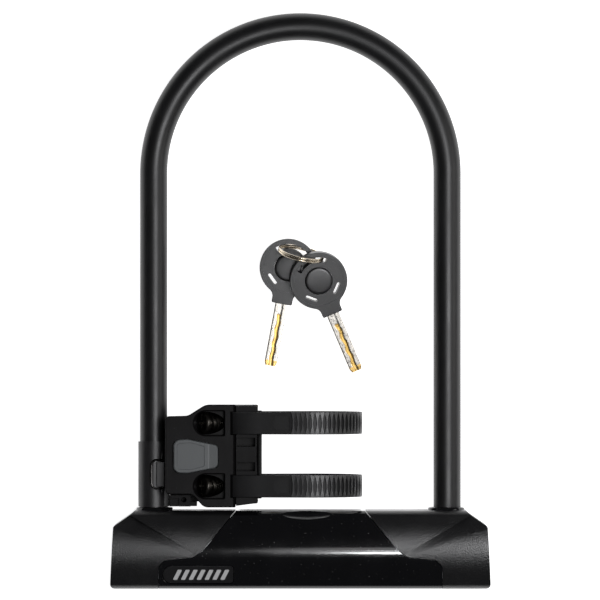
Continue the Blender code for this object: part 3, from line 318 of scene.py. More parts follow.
finishes = {
    "blackVinyl": dict(color=(0.0065, 0.0064, 0.0068), roughness=0.40, grain=0.10, grainDepth=0.00015,
                       wave=0.25, waveDepth=0.00035, waveScale=55, cloud=0.10, scratch=0.06,
                       scratchStretch=(14, 1.2, 14), dust=0.03),
    "glossBlack": dict(color=(0.0040, 0.0040, 0.0047), roughness=0.105, grain=0.02, wave=0.10, waveScale=30,
                       cloud=0.18, scratch=0.10, scratchScale=90, dust=0.16, dustScale=700),
    "capTexture": dict(color=(0.0070, 0.0069, 0.0073), roughness=0.31, specular=0.65, grain=0.55,
                       grainDepth=0.00030, grainScale=1150, wave=0.05, cloud=0.10, scratch=0.05, dust=0.04),
    "bracketPlastic": dict(color=(0.0042, 0.0038, 0.0041), roughness=0.46, specular=0.12, grain=0.30,
                           grainScale=1700, cloud=0.14, scratch=0.10, dust=0.05),
    "collarPlastic": dict(color=(0.014, 0.0137, 0.0145), roughness=0.42, grain=0.20, cloud=0.12,
                          scratch=0.12, scratchStretch=(10, 1.5, 10), dust=0.04),
    "strapPlastic": dict(color=(0.0070, 0.0068, 0.0072), roughness=0.44, specular=0.26, grain=0.30,
                         grainScale=1600, cloud=0.14, scratch=0.12, dust=0.06),
    # the ribs are a lighter copy of the strap plastic: a painted highlight on the rib tops, against which the
    # grooves read as shade
    "ribPaintedHighlight": dict(color=(0.0270, 0.0268, 0.0275), roughness=0.38, specular=0.6, grain=0.25,
                       grainScale=1600, cloud=0.18, scratch=0.14, dust=0.05),
    "buttonGrey": dict(color=(0.090, 0.097, 0.100), roughness=0.45, grain=0.25, cloud=0.05, scratch=0.05,
                       dust=0.02),
    "chromeWire": dict(color=(0.62, 0.60, 0.58), roughness=0.16, metallic=1.0, cloud=0.2, scratchScale=200,
                       markColor=(0.3, 0.28, 0.26)),
    "bailWire": dict(color=(0.060, 0.058, 0.056), roughness=0.26, metallic=1.0, cloud=0.2, scratchScale=200,
                     markColor=(0.3, 0.28, 0.26)),
    "ringWire": dict(color=(0.66, 0.58, 0.46), roughness=0.26, metallic=1.0, cloud=0.10, cloudScale=60,
                     grain=0.02, wave=0.02, scratch=0.05, scratchScale=200, markColor=(0.35, 0.28, 0.20)),
    "screwSteel": dict(color=(0.060, 0.056, 0.050), roughness=0.36, metallic=1.0, cloud=0.35,
                       cloudScale=260, scratch=0.25, markColor=(0.20, 0.17, 0.12)),
    "hardenedSteel": dict(color=(0.33, 0.34, 0.35), roughness=0.36, metallic=1.0, cloud=0.18, scratch=0.3,
                          scratchStretch=(1, 22, 22), markColor=(0.55, 0.55, 0.55)),
    "nickelBlade": dict(color=(0.62, 0.59, 0.54), roughness=0.36, metallic=1.0, cloud=0.38, cloudScale=700,
                        tint=(0.86, 0.56, 0.16), scratch=0.35, scratchStretch=(20, 1.2, 20),
                        markColor=(0.55, 0.50, 0.42)),
    "brassWork": dict(color=(0.60, 0.44, 0.19), roughness=0.32, metallic=1.0, cloud=0.2, scratch=0.25,
                      markColor=(0.75, 0.62, 0.36)),
    "keyPlastic": dict(color=(0.0130, 0.0127, 0.0133), roughness=0.34, specular=0.70, grain=0.28,
                       scratch=0.12, dust=0.05),
    "badgePlate": dict(color=(0.012, 0.0117, 0.0125), roughness=0.34, grain=0.2, grainDepth=0.0001,
                       cloud=0.1, scratch=0.05, dust=0.04),
    "badgeBars": dict(color=(0.60, 0.60, 0.60), roughness=0.45, grain=0.2, grainDepth=0.0001, cloud=0.06,
                      scratch=0.1, markColor=(0.4, 0.4, 0.4)),
    "blackRubber": dict(color=(0.010, 0.010, 0.010), roughness=0.72, grain=0.4, grainDepth=0.0003,
                        grainScale=900, cloud=0.2, scratch=0.03, dust=0.12),
}
material = {name: surface(name, look) for name, look in finishes.items()}
print("materials made")

studio = {
    "cameraPlace": (-0.00025, 0.1556, 4.023),
    "lens": 384.0,
    "floorSize": 8.0,
    "floorGlow": 0.97,
    "floorColor": (0.90, 0.90, 0.90),
    "skyColor": (0.050, 0.051, 0.054),
    "backdropColor": (0.93, 0.93, 0.93),
    # name: place, aim, size, power, tint
    "lights": {
        "broadLight": ((0.40, 0.17, 1.30), (0.0, 0.12, 0.0), 0.50, 7.5, (1.0, 1.0, 1.02)),
        "keyLight": ((0.078, -0.15, 1.30), (0.05, 0.02, 0.0), 0.07, 1.1, (0.98, 0.99, 1.0)),
        "haloLight": ((0.07, -0.05, 1.30), (0.03, 0.05, 0.0), 0.22, 0.35, (0.98, 0.99, 1.0)),
        "sideLight": ((0.95, 0.25, 0.55), (0.0, 0.15, 0.02), 0.6, 1.6, (1.0, 0.98, 0.96)),
    },
}


def setStudio():
    scene = bpy.context.scene
    camera = bpy.data.cameras.new("camera")
    camera.lens, camera.sensor_width = studio["lens"], 36.0
    camera.clip_start, camera.clip_end = 0.02, 30.0
    cameraObject = newObject("camera", camera)
    cameraObject.location = studio["cameraPlace"]
    scene.camera = cameraObject
    scene.view_settings.view_transform = "Standard"

    half = studio["floorSize"] / 2
    shape = bmesh.new()
    bmesh.ops.create_grid(shape, x_segments=8, y_segments=8, size=half,
                          matrix=Matrix.Translation((0, 0, -0.0004)))
    floor = fromBmesh("floor", shape)
    paint = bpy.data.materials.new("paleFloor")
    paint.use_nodes = True
    shader = paint.node_tree.nodes["Principled BSDF"]
    shader.inputs["Base Color"].default_value = (*studio["floorColor"], 1)
    shader.inputs["Roughness"].default_value = 0.9
    shader.inputs["Emission Color"].default_value = (1, 1, 1, 1)
    shader.inputs["Emission Strength"].default_value = studio["floorGlow"]
    floor.data.materials.append(paint)

    world = bpy.data.worlds.new("studio")
    world.use_nodes = True
    scene.world = world
    tree = world.node_tree
    sky = tree.nodes["Background"]
    sky.inputs["Color"].default_value = (*studio["skyColor"], 1)
    backdrop = addNode(tree, "ShaderNodeBackground")
    backdrop.inputs["Color"].default_value = (*studio["backdropColor"], 1)
    path = addNode(tree, "ShaderNodeLightPath")
    mix = addNode(tree, "ShaderNodeMixShader")
    tree.links.new(path.outputs["Is Camera Ray"], mix.inputs["Fac"])
    tree.links.new(sky.outputs["Background"], mix.inputs[1])
    tree.links.new(backdrop.outputs["Background"], mix.inputs[2])
    tree.links.new(mix.outputs["Shader"], tree.nodes["World Output"].inputs["Surface"])

    for name, (place, aim, size, power, tint) in studio["lights"].items():
        light = bpy.data.lights.new(name, "AREA")
        light.shape, light.size, light.energy, light.color = "DISK", size, power, tint
        lamp = newObject(name, light)
        lamp.location = place
        lamp.rotation_mode = "QUATERNION"
        lamp.visible_camera = False
        lamp.rotation_quaternion = (Vector(aim) - Vector(place)).to_track_quat("-Z", "Y")


setStudio()
print("studio set")

shackleSizes = {"legX": 0.0917, "legZ": 0.023, "archY": 0.2347, "coatRadius": 0.0085, "coatBore": 0.0068,
                "coatEndY": 0.0215, "lip": 0.0006, "barRadius": 0.0065, "barEndY": -0.0105, "barEdge": 0.0008,
                "notchFloorX": 0.0894, "notchHalf": 0.006, "notchReach": 0.004, "notchEdge": 0.0003}


def legPath(endY, legSteps, archSteps):
    s = shackleSizes
    x, y, z = s["legX"], s["archY"], s["legZ"]
    path = [((-x, endY + (y - endY) * i / legSteps, z), (0, 1, 0)) for i in range(legSteps)]
    for i in range(archSteps + 1):
        t = pi - pi * i / archSteps
        path.append(((x * math.cos(t), y + x * math.sin(t), z), (math.sin(t), -math.cos(t), 0)))
    path += [((x, y + (endY - y) * i / legSteps, z), (0, -1, 0)) for i in range(1, legSteps + 1)]
    return path


def ringAt(place, along, radius, sides, forward=0.0):
    side = Vector((along[1], -along[0], 0))
    middle = Vector(place) + Vector(along) * forward
    return [middle + side * radius * math.cos(t) + Vector((0, 0, 1)) * radius * math.sin(t)
            for t in [2 * pi * i / sides for i in range(sides)]]


def makeShackle():
    s = shackleSizes
    sides, lip, edge = 64, s["lip"], s["barEdge"]
    path = legPath(s["coatEndY"], 30, 96)
    outer = [ringAt(place, along, s["coatRadius"], sides) for place, along in path]
    # rolled edges at both ends
    first, last = path[0], path[-1]
    outer[0] = ringAt(*first, s["coatRadius"] - lip, sides)
    outer.insert(1, ringAt(*first, s["coatRadius"] - lip * 0.3, sides, lip * 0.3))
    outer.insert(2, ringAt(*first, s["coatRadius"], sides, lip))
    outer[-1] = ringAt(*last, s["coatRadius"] - lip, sides)
    outer.insert(-1, ringAt(*last, s["coatRadius"], sides, -lip))
    outer.insert(-1, ringAt(*last, s["coatRadius"] - lip * 0.3, sides, -lip * 0.3))
    inner = [ringAt(place, along, s["coatBore"], sides) for place, along in reversed(path)]
    coat = loft("sleeveCoat", outer + inner, closed=True)
    smoothByAngle(coat, 40)
    finishPiece(coat, material["blackVinyl"], "shackle", ["shackle_sleeve"])

    sides = 48
    path = legPath(s["barEndY"], 12, 64)
    first, last = path[0], path[-1]
    rings = [ringAt(place, along, s["barRadius"], sides) for place, along in path]
    rings[0] = ringAt(*first, s["barRadius"] - edge, sides)
    rings.insert(1, ringAt(*first, s["barRadius"], sides, edge))
    rings[-1] = ringAt(*last, s["barRadius"] - edge, sides)
    rings.insert(-1, ringAt(*last, s["barRadius"], sides, -edge))
    steel = loft("shackleBar", rings)
    for side in (-1, 1):
        xs = sorted((side * s["notchFloorX"], side * (s["legX"] - s["barRadius"] - s["notchReach"])))
        cut(steel, boxMesh("notchTool", (xs[0], -s["notchHalf"], s["legZ"] - 0.01),
                           (xs[1], s["notchHalf"], s["legZ"] + 0.01)))
    roundEdges(steel, s["notchEdge"], 2, 50,
               lambda p: p.y < 2 * s["notchHalf"] and abs(abs(p.x) - s["legX"]) < s["barRadius"] - 0.0001)
    smoothByAngle(steel, 35)
    finishPiece(steel, material["hardenedSteel"], "shackle", ["shackle_bar"])


makeShackle()
print("shackle made")

crossbar = {"halfLength": 0.1186, "halfHeight": 0.0244, "depth": 0.046, "crown": 0.040, "crownHalf": 0.0175,
            "corner": 0.0066, "cornerSweep": 58, "edgeDrop": 0.0074, "back": 0.008, "tubeRadius": 0.0198,
            "tubeHalf": 0.1128, "axisZ": 0.023, "bootX": 0.0911, "bossTop": 0.032, "bossFoot": 0.0204,
            "gap": 0.0003, "endWall": 0.0018, "tubeWay": 0.0215, "footRadius": 0.003,
            "endCorners": [(0.1165, 0.0146, 0.002), (0.1058, 0.0220, 0.003), (0.1030, 0.0244, 0)],
            "keyHole": 0.0095, "trackX": (-0.0125, 0.0282), "trackDeep": 0.0014, "trackHalf": 0.0102,
            "dish": [(-0.038, 0.014, 0.006), (0.038, 0.014, 0.006), (0.038, 0.032, 0.006),
                     (-0.038, 0.032, 0.006)],
            "dishDeep": 0.0022, "scoopPlace": (0.004, 0.0262, 0.0440), "scoopRadius": 0.0076,
            "scoopHalf": 0.034, "screwX": 0.048, "capScrewX": 0.1060, "coverRound": 0.00085,
            "capRound": 0.0013}
# the Z range of a tool that goes through the whole crossbar
through = (-0.01, 0.06)
coverEdge = [(0.0400, 0.030, 0), (0.0400, 0.0243, 0.002), (0.0607, -0.0006, 0.006), (0.0670, -0.0047, 0.006),
             (0.0845, -0.0066, 0.003), (0.0882, -0.0105, 0.003), (0.0882, -0.030, 0)]
# boss round each leg: radius and height Y, from the rim down its flare
bossProfile = [(0.0100, 0.0262), (0.0107, 0.0262), (0.0112, 0.02600), (0.01145, 0.0255), (0.0116, 0.0247),
               (0.0120, 0.0236), (0.0127, 0.0226), (0.0137, 0.0217), (0.0148, 0.0211), (0.0152, 0.0206)]
# the twisted facet on each cap, from its outer end to its inner end
facet = {"upper": ((0.1060, 0.0216), (0.0645, -0.0028)), "lower": ((0.1155, 0.0136), (0.0720, -0.0046)),
         "depth": 0.0019, "fade": 0.6, "start": -0.16, "reach": 1.24, "steps": 20, "roof": 0.07}
badge = {"placeY": 0.0154, "sink": 0.00312, "middleX": 0.0636,
         "outline": [(-0.0855, -0.0058, 0.0055), (-0.0418, -0.0058, 0.002), (-0.0418, 0.0058, 0.002),
                     (-0.0855, 0.0058, 0.0055)],
         "bars": 7, "pitch": 0.0049, "firstX": -0.0778, "width": 0.0027, "half": 0.0034, "slant": 0.0016,
         "round": 0.0005, "thick": 0.00022, "faceZ": -0.00041}


# the front's height above the floor at a height y up the crossbar
def frontZ(y):
    b = crossbar
    y = abs(y)
    middle = b["depth"] - b["crown"]
    if y <= b["crownHalf"]:
        return middle + math.sqrt(b["crown"] ** 2 - y * y)
    edgeZ = middle + b["crown"] * math.cos(math.asin(b["crownHalf"] / b["crown"])) - b["edgeDrop"]
    across = min(y - (b["halfHeight"] - b["corner"]), b["corner"] * 0.999)
    return edgeZ + math.sqrt(b["corner"] ** 2 - max(across, 0) ** 2)


# the crossbar's section in Y and Z: round back corners, a crowned front and its dropped edges
def crossSection():
    b = crossbar
    middle = b["depth"] - b["crown"]
    spread = math.asin(b["crownHalf"] / b["crown"])
    front = arc(0, middle, b["crown"], pi / 2 - spread, pi / 2 + spread, 26)
    edgeZ = front[0][1] - b["edgeDrop"]
    half, back, corner, sweep = b["halfHeight"], b["back"], b["corner"], math.radians(b["cornerSweep"])
    return (arc(back - half, back, back, pi, pi * 1.5, 8) + arc(half - back, back, back, pi * 1.5, pi * 2, 8)
            + arc(half - corner, edgeZ, corner, 0, sweep, 9) + front
            + arc(corner - half, edgeZ, corner, pi - sweep, pi, 9))


def crossbarBlank(name):
    b = crossbar
    body = prism(name, crossSection(), "yz", -b["halfLength"], b["halfLength"])
    keep(body, outlineTool(0))
    cut(body, keep(tubeTool(), outlineTool(b["endWall"])))
    return body


# the crossbar's front outline, with its slanted ends moved in
def outlineTool(inset):
    b = crossbar
    length, half, foot = b["halfLength"], b["halfHeight"], b["footRadius"]
    right = [(x - inset, y, r) for x, y, r in b["endCorners"]]
    corners = [(-length, -half, foot), (length, -half, foot)] + right
    corners += [(-x, y, r) for x, y, r in reversed(right)]
    return prism("outlineTool", roundedOutline(corners), "xy", *through)


def tubeTool():
    b = crossbar
    reach, radius = b["tubeHalf"] + b["gap"], b["tubeRadius"] + b["gap"]
    return revolve("tubeTool", [(0, 0), (radius, 0), (radius, 2 * reach), (0, 2 * reach)],
                   (-reach, 0, b["axisZ"]), (1, 0, 0), 72, closed=False)


def coverOutline(grow):
    right = [(x + grow, y + (grow if 0 < i < 6 else 0), r) for i, (x, y, r) in enumerate(coverEdge)]
    return right + [(-x, y, r) for x, y, r in reversed(right)]


def between(line, t):
    return [first + (last - first) * t for first, last in zip(*line)]


# everything in front of the facet, whose step down from the cap fades towards its inner end
def facetTool(side):
    f = facet
    rings = []
    for i in range(f["steps"] + 1):
        t = f["start"] + f["reach"] * i / f["steps"]
        onCap = min(max(t, 0), 1)
        highX, highY = between(f["upper"], t)
        lowX, lowY = between(f["lower"], t)
        step = f["depth"] * (1.02 - onCap) ** f["fade"]
        high = Vector((side * highX, highY, frontZ(between(f["upper"], onCap)[1]) - step))
        low = Vector((side * lowX, lowY, frontZ(between(f["lower"], onCap)[1]) + 0.00003))
        past = low + (low - high) * 0.25
        row = [high, low.lerp(high, 0.5), low, past]
        rings.append(row + [Vector((p.x, p.y, f["roof"])) for p in reversed(row)])
    return loft("facetTool", rings, triangles=True)


def bossTool(side, grow):
    b = crossbar
    profile = [(0, b["bossTop"]), (bossProfile[2][0] + grow, b["bossTop"])]
    profile += [(r + grow, y) for r, y in bossProfile[3:-1]]
    profile += [(bossProfile[-1][0] + grow, b["bossFoot"]), (0, b["bossFoot"])]
    return revolve("bossTool", profile, (side * b["bootX"], 0, b["axisZ"]), (0, 1, 0), 72, closed=False)


# true away from the bore for the tube, whose edges stay sharp
def offBore(p):
    return p.y ** 2 + (p.z - crossbar["axisZ"]) ** 2 > crossbar["tubeWay"] ** 2


def makeCover():
    b = crossbar
    cover = crossbarBlank("centreCover")
    keep(cover, prism("coverTool", roundedOutline(coverOutline(0), 8), "xy", *through))
    cut(cover, revolve("keyHoleTool", [(0, -0.03), (b["keyHole"], -0.03), (b["keyHole"], 0), (0, 0)],
                       (0, 0, b["axisZ"]), (0, 1, 0), 48, closed=False))
    cut(cover, boxMesh("trackTool", (b["trackX"][0], -0.03, b["axisZ"] - b["trackHalf"]),
                       (b["trackX"][1], -b["halfHeight"] + b["trackDeep"], b["axisZ"] + b["trackHalf"])))
    cut(cover, prism("dishTool", roundedOutline(b["dish"]), "xz", b["halfHeight"] - b["dishDeep"], 0.03))
    # a lens-shaped scoop out of the front's upper edge
    scoop = [(b["scoopRadius"] * math.cos(pi * i / 48) ** 0.8 if i < 24 else 0, b["scoopHalf"] * i / 24)
             for i in range(25)]
    cut(cover, revolve("scoopTool", [(q, -h) for q, h in reversed(scoop)] + scoop[1:], b["scoopPlace"],
                       (1, 0, 0), 64, closed=False))
    pocket = prism("pocketTool", roundedOutline(badgeOutline(0.0003), 8), "xy", -0.0016, 0.004)
    bevel = loft("pocketBevelTool", [[(x, y, height) for x, y in roundedOutline(badgeOutline(grow), 8)]
                                     for grow, height in ((0.0003, -0.0003), (0.0026, 0.0030))])
    for tool in (pocket, bevel):
        tool.data.transform(badgeFrame())
    cut(cover, pocket, bevel)
    for side in (-1, 1):
        cut(cover, screwTool(side * b["screwX"]))
    # the edges along the caps, but not the front's own edges and not the thin strips under the legs
    roundEdges(cover, b["coverRound"], 3, 30, lambda p: p.z > 0.012 and abs(p.x) > 0.039 and p.y < 0.0235
               and offBore(p) and (p.y > -0.0085 or abs(p.x) > 0.0875))
    weighNormals(smoothByAngle(cover, 28))
    finishPiece(cover, material["glossBlack"], "crossbar", ["centre_cover"])


# a countersunk hole from the back
def screwTool(x):
    return revolve("screwTool", [(0, -0.002), (0.0032, -0.002), (0.0032, 0.0024), (0.0018, 0.0024),
                                 (0.0018, 0.0072), (0, 0.0072)], (x, 0, 0), (0, 0, 1), 32, closed=False)


# the badge lies against the crowned front, so it is tilted
def badgeFrame():
    tilt = math.asin(badge["placeY"] / crossbar["crown"])
    place = Matrix.Translation((0, -badge["placeY"], crossbar["depth"] - badge["sink"]))
    return place @ Matrix.Rotation(tilt, 4, "X")


def badgeOutline(grow):
    return [(x + math.copysign(grow, x + badge["middleX"]), y + math.copysign(grow, y), r)
            for x, y, r in badge["outline"]]


def makeCap(name, side, node):
    b = crossbar
    cap = crossbarBlank(name)
    region = ([(coverEdge[0][0] + 2 * b["gap"], 0.030, 0)] + coverOutline(b["gap"])[1:6]
              + [(coverEdge[6][0] + b["gap"], -0.030, 0), (0.125, -0.030, 0), (0.125, 0.030, 0)])
    keep(cap, prism("capTool", roundedOutline([(side * x, y, r) for x, y, r in region], 8), "xy", *through))
    cut(cap, bossTool(side, b["gap"]))
    cut(cap, facetTool(side))
    cut(cap, screwTool(side * b["capScrewX"]))
    roundEdges(cap, b["capRound"], 3, 40,
               lambda p: abs(p.x) > 0.1150 and p.z > 0.004 and p.y < 0.012 and offBore(p))
    weighNormals(smoothByAngle(cap, 14))
    finishPiece(cap, material["capTexture"], "crossbar", [node])
    profile = bossProfile + [(0.0150, 0.0206), (0.0092, 0.0206), (0.0092, 0.0255)]
    boss = revolve(name + "Boss", profile, (side * b["bootX"], 0, b["axisZ"]), (0, 1, 0), 96)
    finishPiece(boss, material["glossBlack"], "crossbar", [name.replace("Cap", "_boot")])


# the steel tube, with its ends slanted like the caps that cover them
def makeTube():
    tube = softCopy("crossbar_tube", 0.0002, 1)
    keep(tube, outlineTool(crossbar["endWall"] + 2 * crossbar["gap"]))
    finishPiece(smoothByAngle(tube, 35), material["hardenedSteel"], "crossbar",
                ["crossbar_tube"])


makeTube()
makeCover()
makeCap("leftCap", -1, "left_end_cap")
makeCap("rightCap", 1, "right_end_cap")
print("crossbar covers made")

bracket = {"plateLow": 0.0400, "plateHigh": 0.0440, "edge": 0.0007, "rightX": -0.0403, "chamfer": 0.0017,
           "gap": 0.0004, "windowX": -0.0588, "windowRight": -0.0474, "windowHalf": 0.0075,
           "windowRim": 0.0010,
           "levels": {"upper": 0.0790, "lower": 0.0398}}
plateEdge = [(-0.0841, 0.0347, 0.0030), (-0.0672, 0.0347, 0.0050), (-0.0600, 0.0266, 0.0060),
             (-0.0403, 0.0266, 0.0006), (-0.0403, 0.0906, 0.0006), (-0.0590, 0.0906, 0.0090),
             (-0.0700, 0.0836, 0.0070), (-0.0841, 0.0833, 0.0025)]
button = {"middle": (-0.065, 0.0585), "low": 0.0386, "flange": 0.0396, "top": 0.0474, "flangeGrow": 0.0012,
          "slope": ((-0.0570, 0.0475), (-0.0500, 0.0436)), "faceInset": 0.0022, "faceStep": 0.0003,
          "faceRim": 0.0004, "round": 0.0006, "hollowInset": 0.002, "hollowTop": 0.0443,
          "outline": [(-0.0787, 0.0484, 0.0042), (-0.0700, 0.0480, 0.010), (-0.0512, 0.0517, 0.003),
                      (-0.0512, 0.0652, 0.003), (-0.0700, 0.0690, 0.010), (-0.0787, 0.0686, 0.0042)]}
strap = {"thickness": 0.0018, "width": 0.0138, "middleZ": 0.0275, "centreX": 0.005, "reach": 0.0326,
         "halfDepth": 0.0227, "ribPitch": 0.0029, "ribHeight": 0.0011, "grooveHalf": 0.00112,
         "grooveReach": 0.0061, "ribsFrom": -0.0056, "ribsTo": 0.52, "recess": (-0.0165, -0.0068, 0.0046),
         "edge": 0.00035}


def windowOutline(level, grow=0.0):
    b = bracket
    half, left, right = b["windowHalf"] + grow, b["windowX"], b["windowRight"] + grow
    corners = [(left, level - half, 0), (right, level - half, 0.001), (right, level + half, 0.001),
               (left, level + half, 0)]
    return arc(left, level, half, pi / 2, pi * 1.5, 24) + roundedOutline(corners, 4)[1:-1]


# the strap's middle line in X and Z, from its tail in the base, round the tube, to its anchor
def strapLine(steps=72):
    s = strap
    front = [(-0.0555, 0.0243), (-0.0505, 0.0243), (-0.0478, 0.0262), (-0.0462, 0.0300), (-0.0448, 0.0370),
             (-0.0434, 0.0422), (-0.0414, 0.0448), (-0.0385, 0.0458), (-0.0265, 0.0466), (-0.0100, 0.0486)]
    loop = [(s["centreX"] + s["reach"] * math.cos(t), s["middleZ"] + s["halfDepth"] * math.sin(t))
            for t in [pi / 2 - pi * i / steps for i in range(steps + 1)]]
    back = [(x, 2 * s["middleZ"] - z) for x, z in reversed(front[4:])]
    return front, loop, back


# the line moved to its left by a distance
def sideways(points, distance):
    moved = []
    for i, (x, z) in enumerate(points):
        along = Vector(points[min(i + 1, len(points) - 1)]) - Vector(points[max(i - 1, 0)])
        along.normalize()
        moved.append((x - along.y * distance, z + along.x * distance))
    return moved


# the button's outline, grown away from its middle
def grown(outline, grow):
    x0, y0 = button["middle"]
    return [(x + math.copysign(grow, (x - x0) * grow), y + math.copysign(grow, (y - y0) * grow),
             max(r + grow, 0.0008)) for x, y, r in outline]


def makePlate():
    b = bracket
    low, high, right, gap = b["plateLow"], b["plateHigh"], b["rightX"], b["gap"]
    plate = prism("bracketPlate", roundedOutline(plateEdge, 10), "xy", low, high)
    wedge = [(right - b["chamfer"], high + 0.00001), (right + 0.001, high + 0.00001),
             (right + 0.001, high - b["chamfer"] * 1.4)]
    cut(plate, prism("wedgeTool", wedge, "xz", 0.02, 0.10))
    roundEdges(plate, b["edge"], 3, 50, lambda p: p.z > high - 0.0001 and p.x < right - b["chamfer"] - 0.001)
    hole = roundedOutline(grown(button["outline"], gap), 8)
    cut(plate, prism("holeTool", hole, "xy", 0.035, 0.050))
    front = strapLine()[0]
    wayHalf, reach = strap["thickness"] / 2 + gap, strap["width"] / 2 + gap
    way = sideways(front, wayHalf) + list(reversed(sideways(front, -wayHalf)))
    for level in b["levels"].values():
        rim = b["windowRim"]
        cut(plate, prism("windowTool", windowOutline(level), "xy", 0.035, 0.050),
            loft("rimTool", [[(x, y, high - rim) for x, y in windowOutline(level)],
                             [(x, y, high + 0.0004) for x, y in windowOutline(level, rim)]]))
        cut(plate, prism("wayTool", way, "xz", level - reach, level + reach))
    weighNormals(smoothByAngle(plate, 30))
    finishPiece(plate, material["bracketPlastic"], "bracket", ["bracket_plate"])


def makeButton():
    b = button
    outline, top = b["outline"], b["top"]
    piece = prism("releaseButton", roundedOutline(outline, 10), "xy", b["low"], top)
    (x1, z1), (x2, z2) = b["slope"]
    cut(piece, prism("slopeTool", [(x1, z1), (x2, z2), (x2, 0.06), (x1, 0.06)], "xz", 0.04, 0.08))
    roundEdges(piece, b["round"], 3, 25, lambda p: p.z > b["low"] + 0.003)
    # a shallow panel in the flat part of the face
    faceX = x1 - b["round"]
    panel = outline[:2] + [(faceX, 0.0503, 0.001), (faceX, 0.0667, 0.001)] + outline[4:]
    inset, rim = b["faceInset"], b["faceRim"]
    cut(piece, loft("faceTool", [[(x, y, z) for x, y in roundedOutline(grown(panel, grow), 6)] for grow, z in
                                 ((-inset, top - b["faceStep"]), (rim - inset, top + 0.0002))]))
    flange = roundedOutline(grown(outline, b["flangeGrow"]), 10)
    join(piece, prism("flangeTool", flange, "xy", b["low"], b["flange"]))
    hollow = roundedOutline(grown(outline, -b["hollowInset"]), 6)
    cut(piece, prism("hollowTool", hollow, "xy", 0.030, b["hollowTop"]))
    weighNormals(smoothByAngle(piece, 30))
    finishPiece(piece, material["buttonGrey"], "button", ["release_button"])


# one rib, with a groove between it and the next that narrows towards the strap's edges
def ribMesh():
    s = strap
    half, foot, bevel = s["width"] / 2, s["thickness"] / 2 - s["ribHeight"], 0.00012
    rows = []
    for i in range(13):
        y = -half + 2 * half * i / 12
        groove = s["grooveHalf"] * max(0.0, 1 - (y / s["grooveReach"]) ** 2)
        wide = s["ribPitch"] / 2 + 0.00004 - groove
        top = s["thickness"] / 2 - (bevel if i in (0, 12) else 0)
        across = [(-wide, foot - 0.0002), (-wide, top - bevel), (-wide + bevel, top), (0, top - 0.00003),
                  (wide - bevel, top), (wide, top - bevel), (wide, foot - 0.0002)]
        rows.append([(x, y, z) for x, z in across])
    return loft("ribPattern", rows)


# a node tree with a geometry input and output and two more inputs
def newTree(name, extras):
    tree = bpy.data.node_groups.new(name, "GeometryNodeTree")
    tree.interface.new_socket("Geometry", in_out="INPUT", socket_type="NodeSocketGeometry")
    keys = [tree.interface.new_socket(label, in_out="INPUT", socket_type="NodeSocket" + kind).identifier
            for label, kind in extras]
    tree.interface.new_socket("Geometry", in_out="OUTPUT", socket_type="NodeSocketGeometry")
    return tree, keys, tree.nodes.new("NodeGroupInput").outputs


# turns placed copies into one mesh with its finish
def closeTree(tree, copies, chosen):
    real = addNode(tree, "GeometryNodeRealizeInstances", {"Geometry": copies.outputs["Instances"]})
    paint = addNode(tree, "GeometryNodeSetMaterial", {"Geometry": real.outputs["Geometry"]}, Material=chosen)
    addNode(tree, "NodeGroupOutput", {"Geometry": paint.outputs["Geometry"]})


# sets one copy of a pattern every pitch along a line in the XZ plane
def ribTree(chosen):
    tree, keys, given = newTree("ribsAlongLine", (("Pitch", "Float"), ("Pattern", "Object")))
    resample = addNode(tree, "GeometryNodeResampleCurve", mode="LENGTH")
    tree.links.new(given["Geometry"], resample.inputs["Curve"])
    tree.links.new(given["Pitch"], resample.inputs["Length"])
    tangent = addNode(tree, "GeometryNodeInputTangent")
    align = addNode(tree, "FunctionNodeAlignRotationToVector", {"Vector": tangent.outputs["Tangent"]},
                    axis="X", pivot_axis="Y")
    info = addNode(tree, "GeometryNodeObjectInfo", {"Object": given["Pattern"]})
    copies = addNode(tree, "GeometryNodeInstanceOnPoints",
                     {"Points": resample.outputs["Curve"], "Instance": info.outputs["Geometry"],
                      "Rotation": align.outputs["Rotation"]})
    closeTree(tree, copies, chosen)
    return tree, keys


def alongLine(name, points, pattern, pitch, chosen):
    curve = bpy.data.curves.new(name, "CURVE")
    curve.dimensions = "3D"
    spline = curve.splines.new("POLY")
    spline.points.add(len(points) - 1)
    for point, place in zip(spline.points, points):
        point.co = (*place, 1)
    line = newObject(name + "Line", curve)
    tree, (pitchKey, patternKey) = ribTree(chosen)
    modifier = line.modifiers.new("ribs", "NODES")
    modifier.node_group = tree
    modifier[pitchKey] = pitch
    modifier[patternKey] = pattern
    bpy.context.view_layer.update()
    mesh = bpy.data.meshes.new_from_object(line.evaluated_get(bpy.context.evaluated_depsgraph_get()))
    bpy.data.objects.remove(line)
    return newObject(name, mesh)


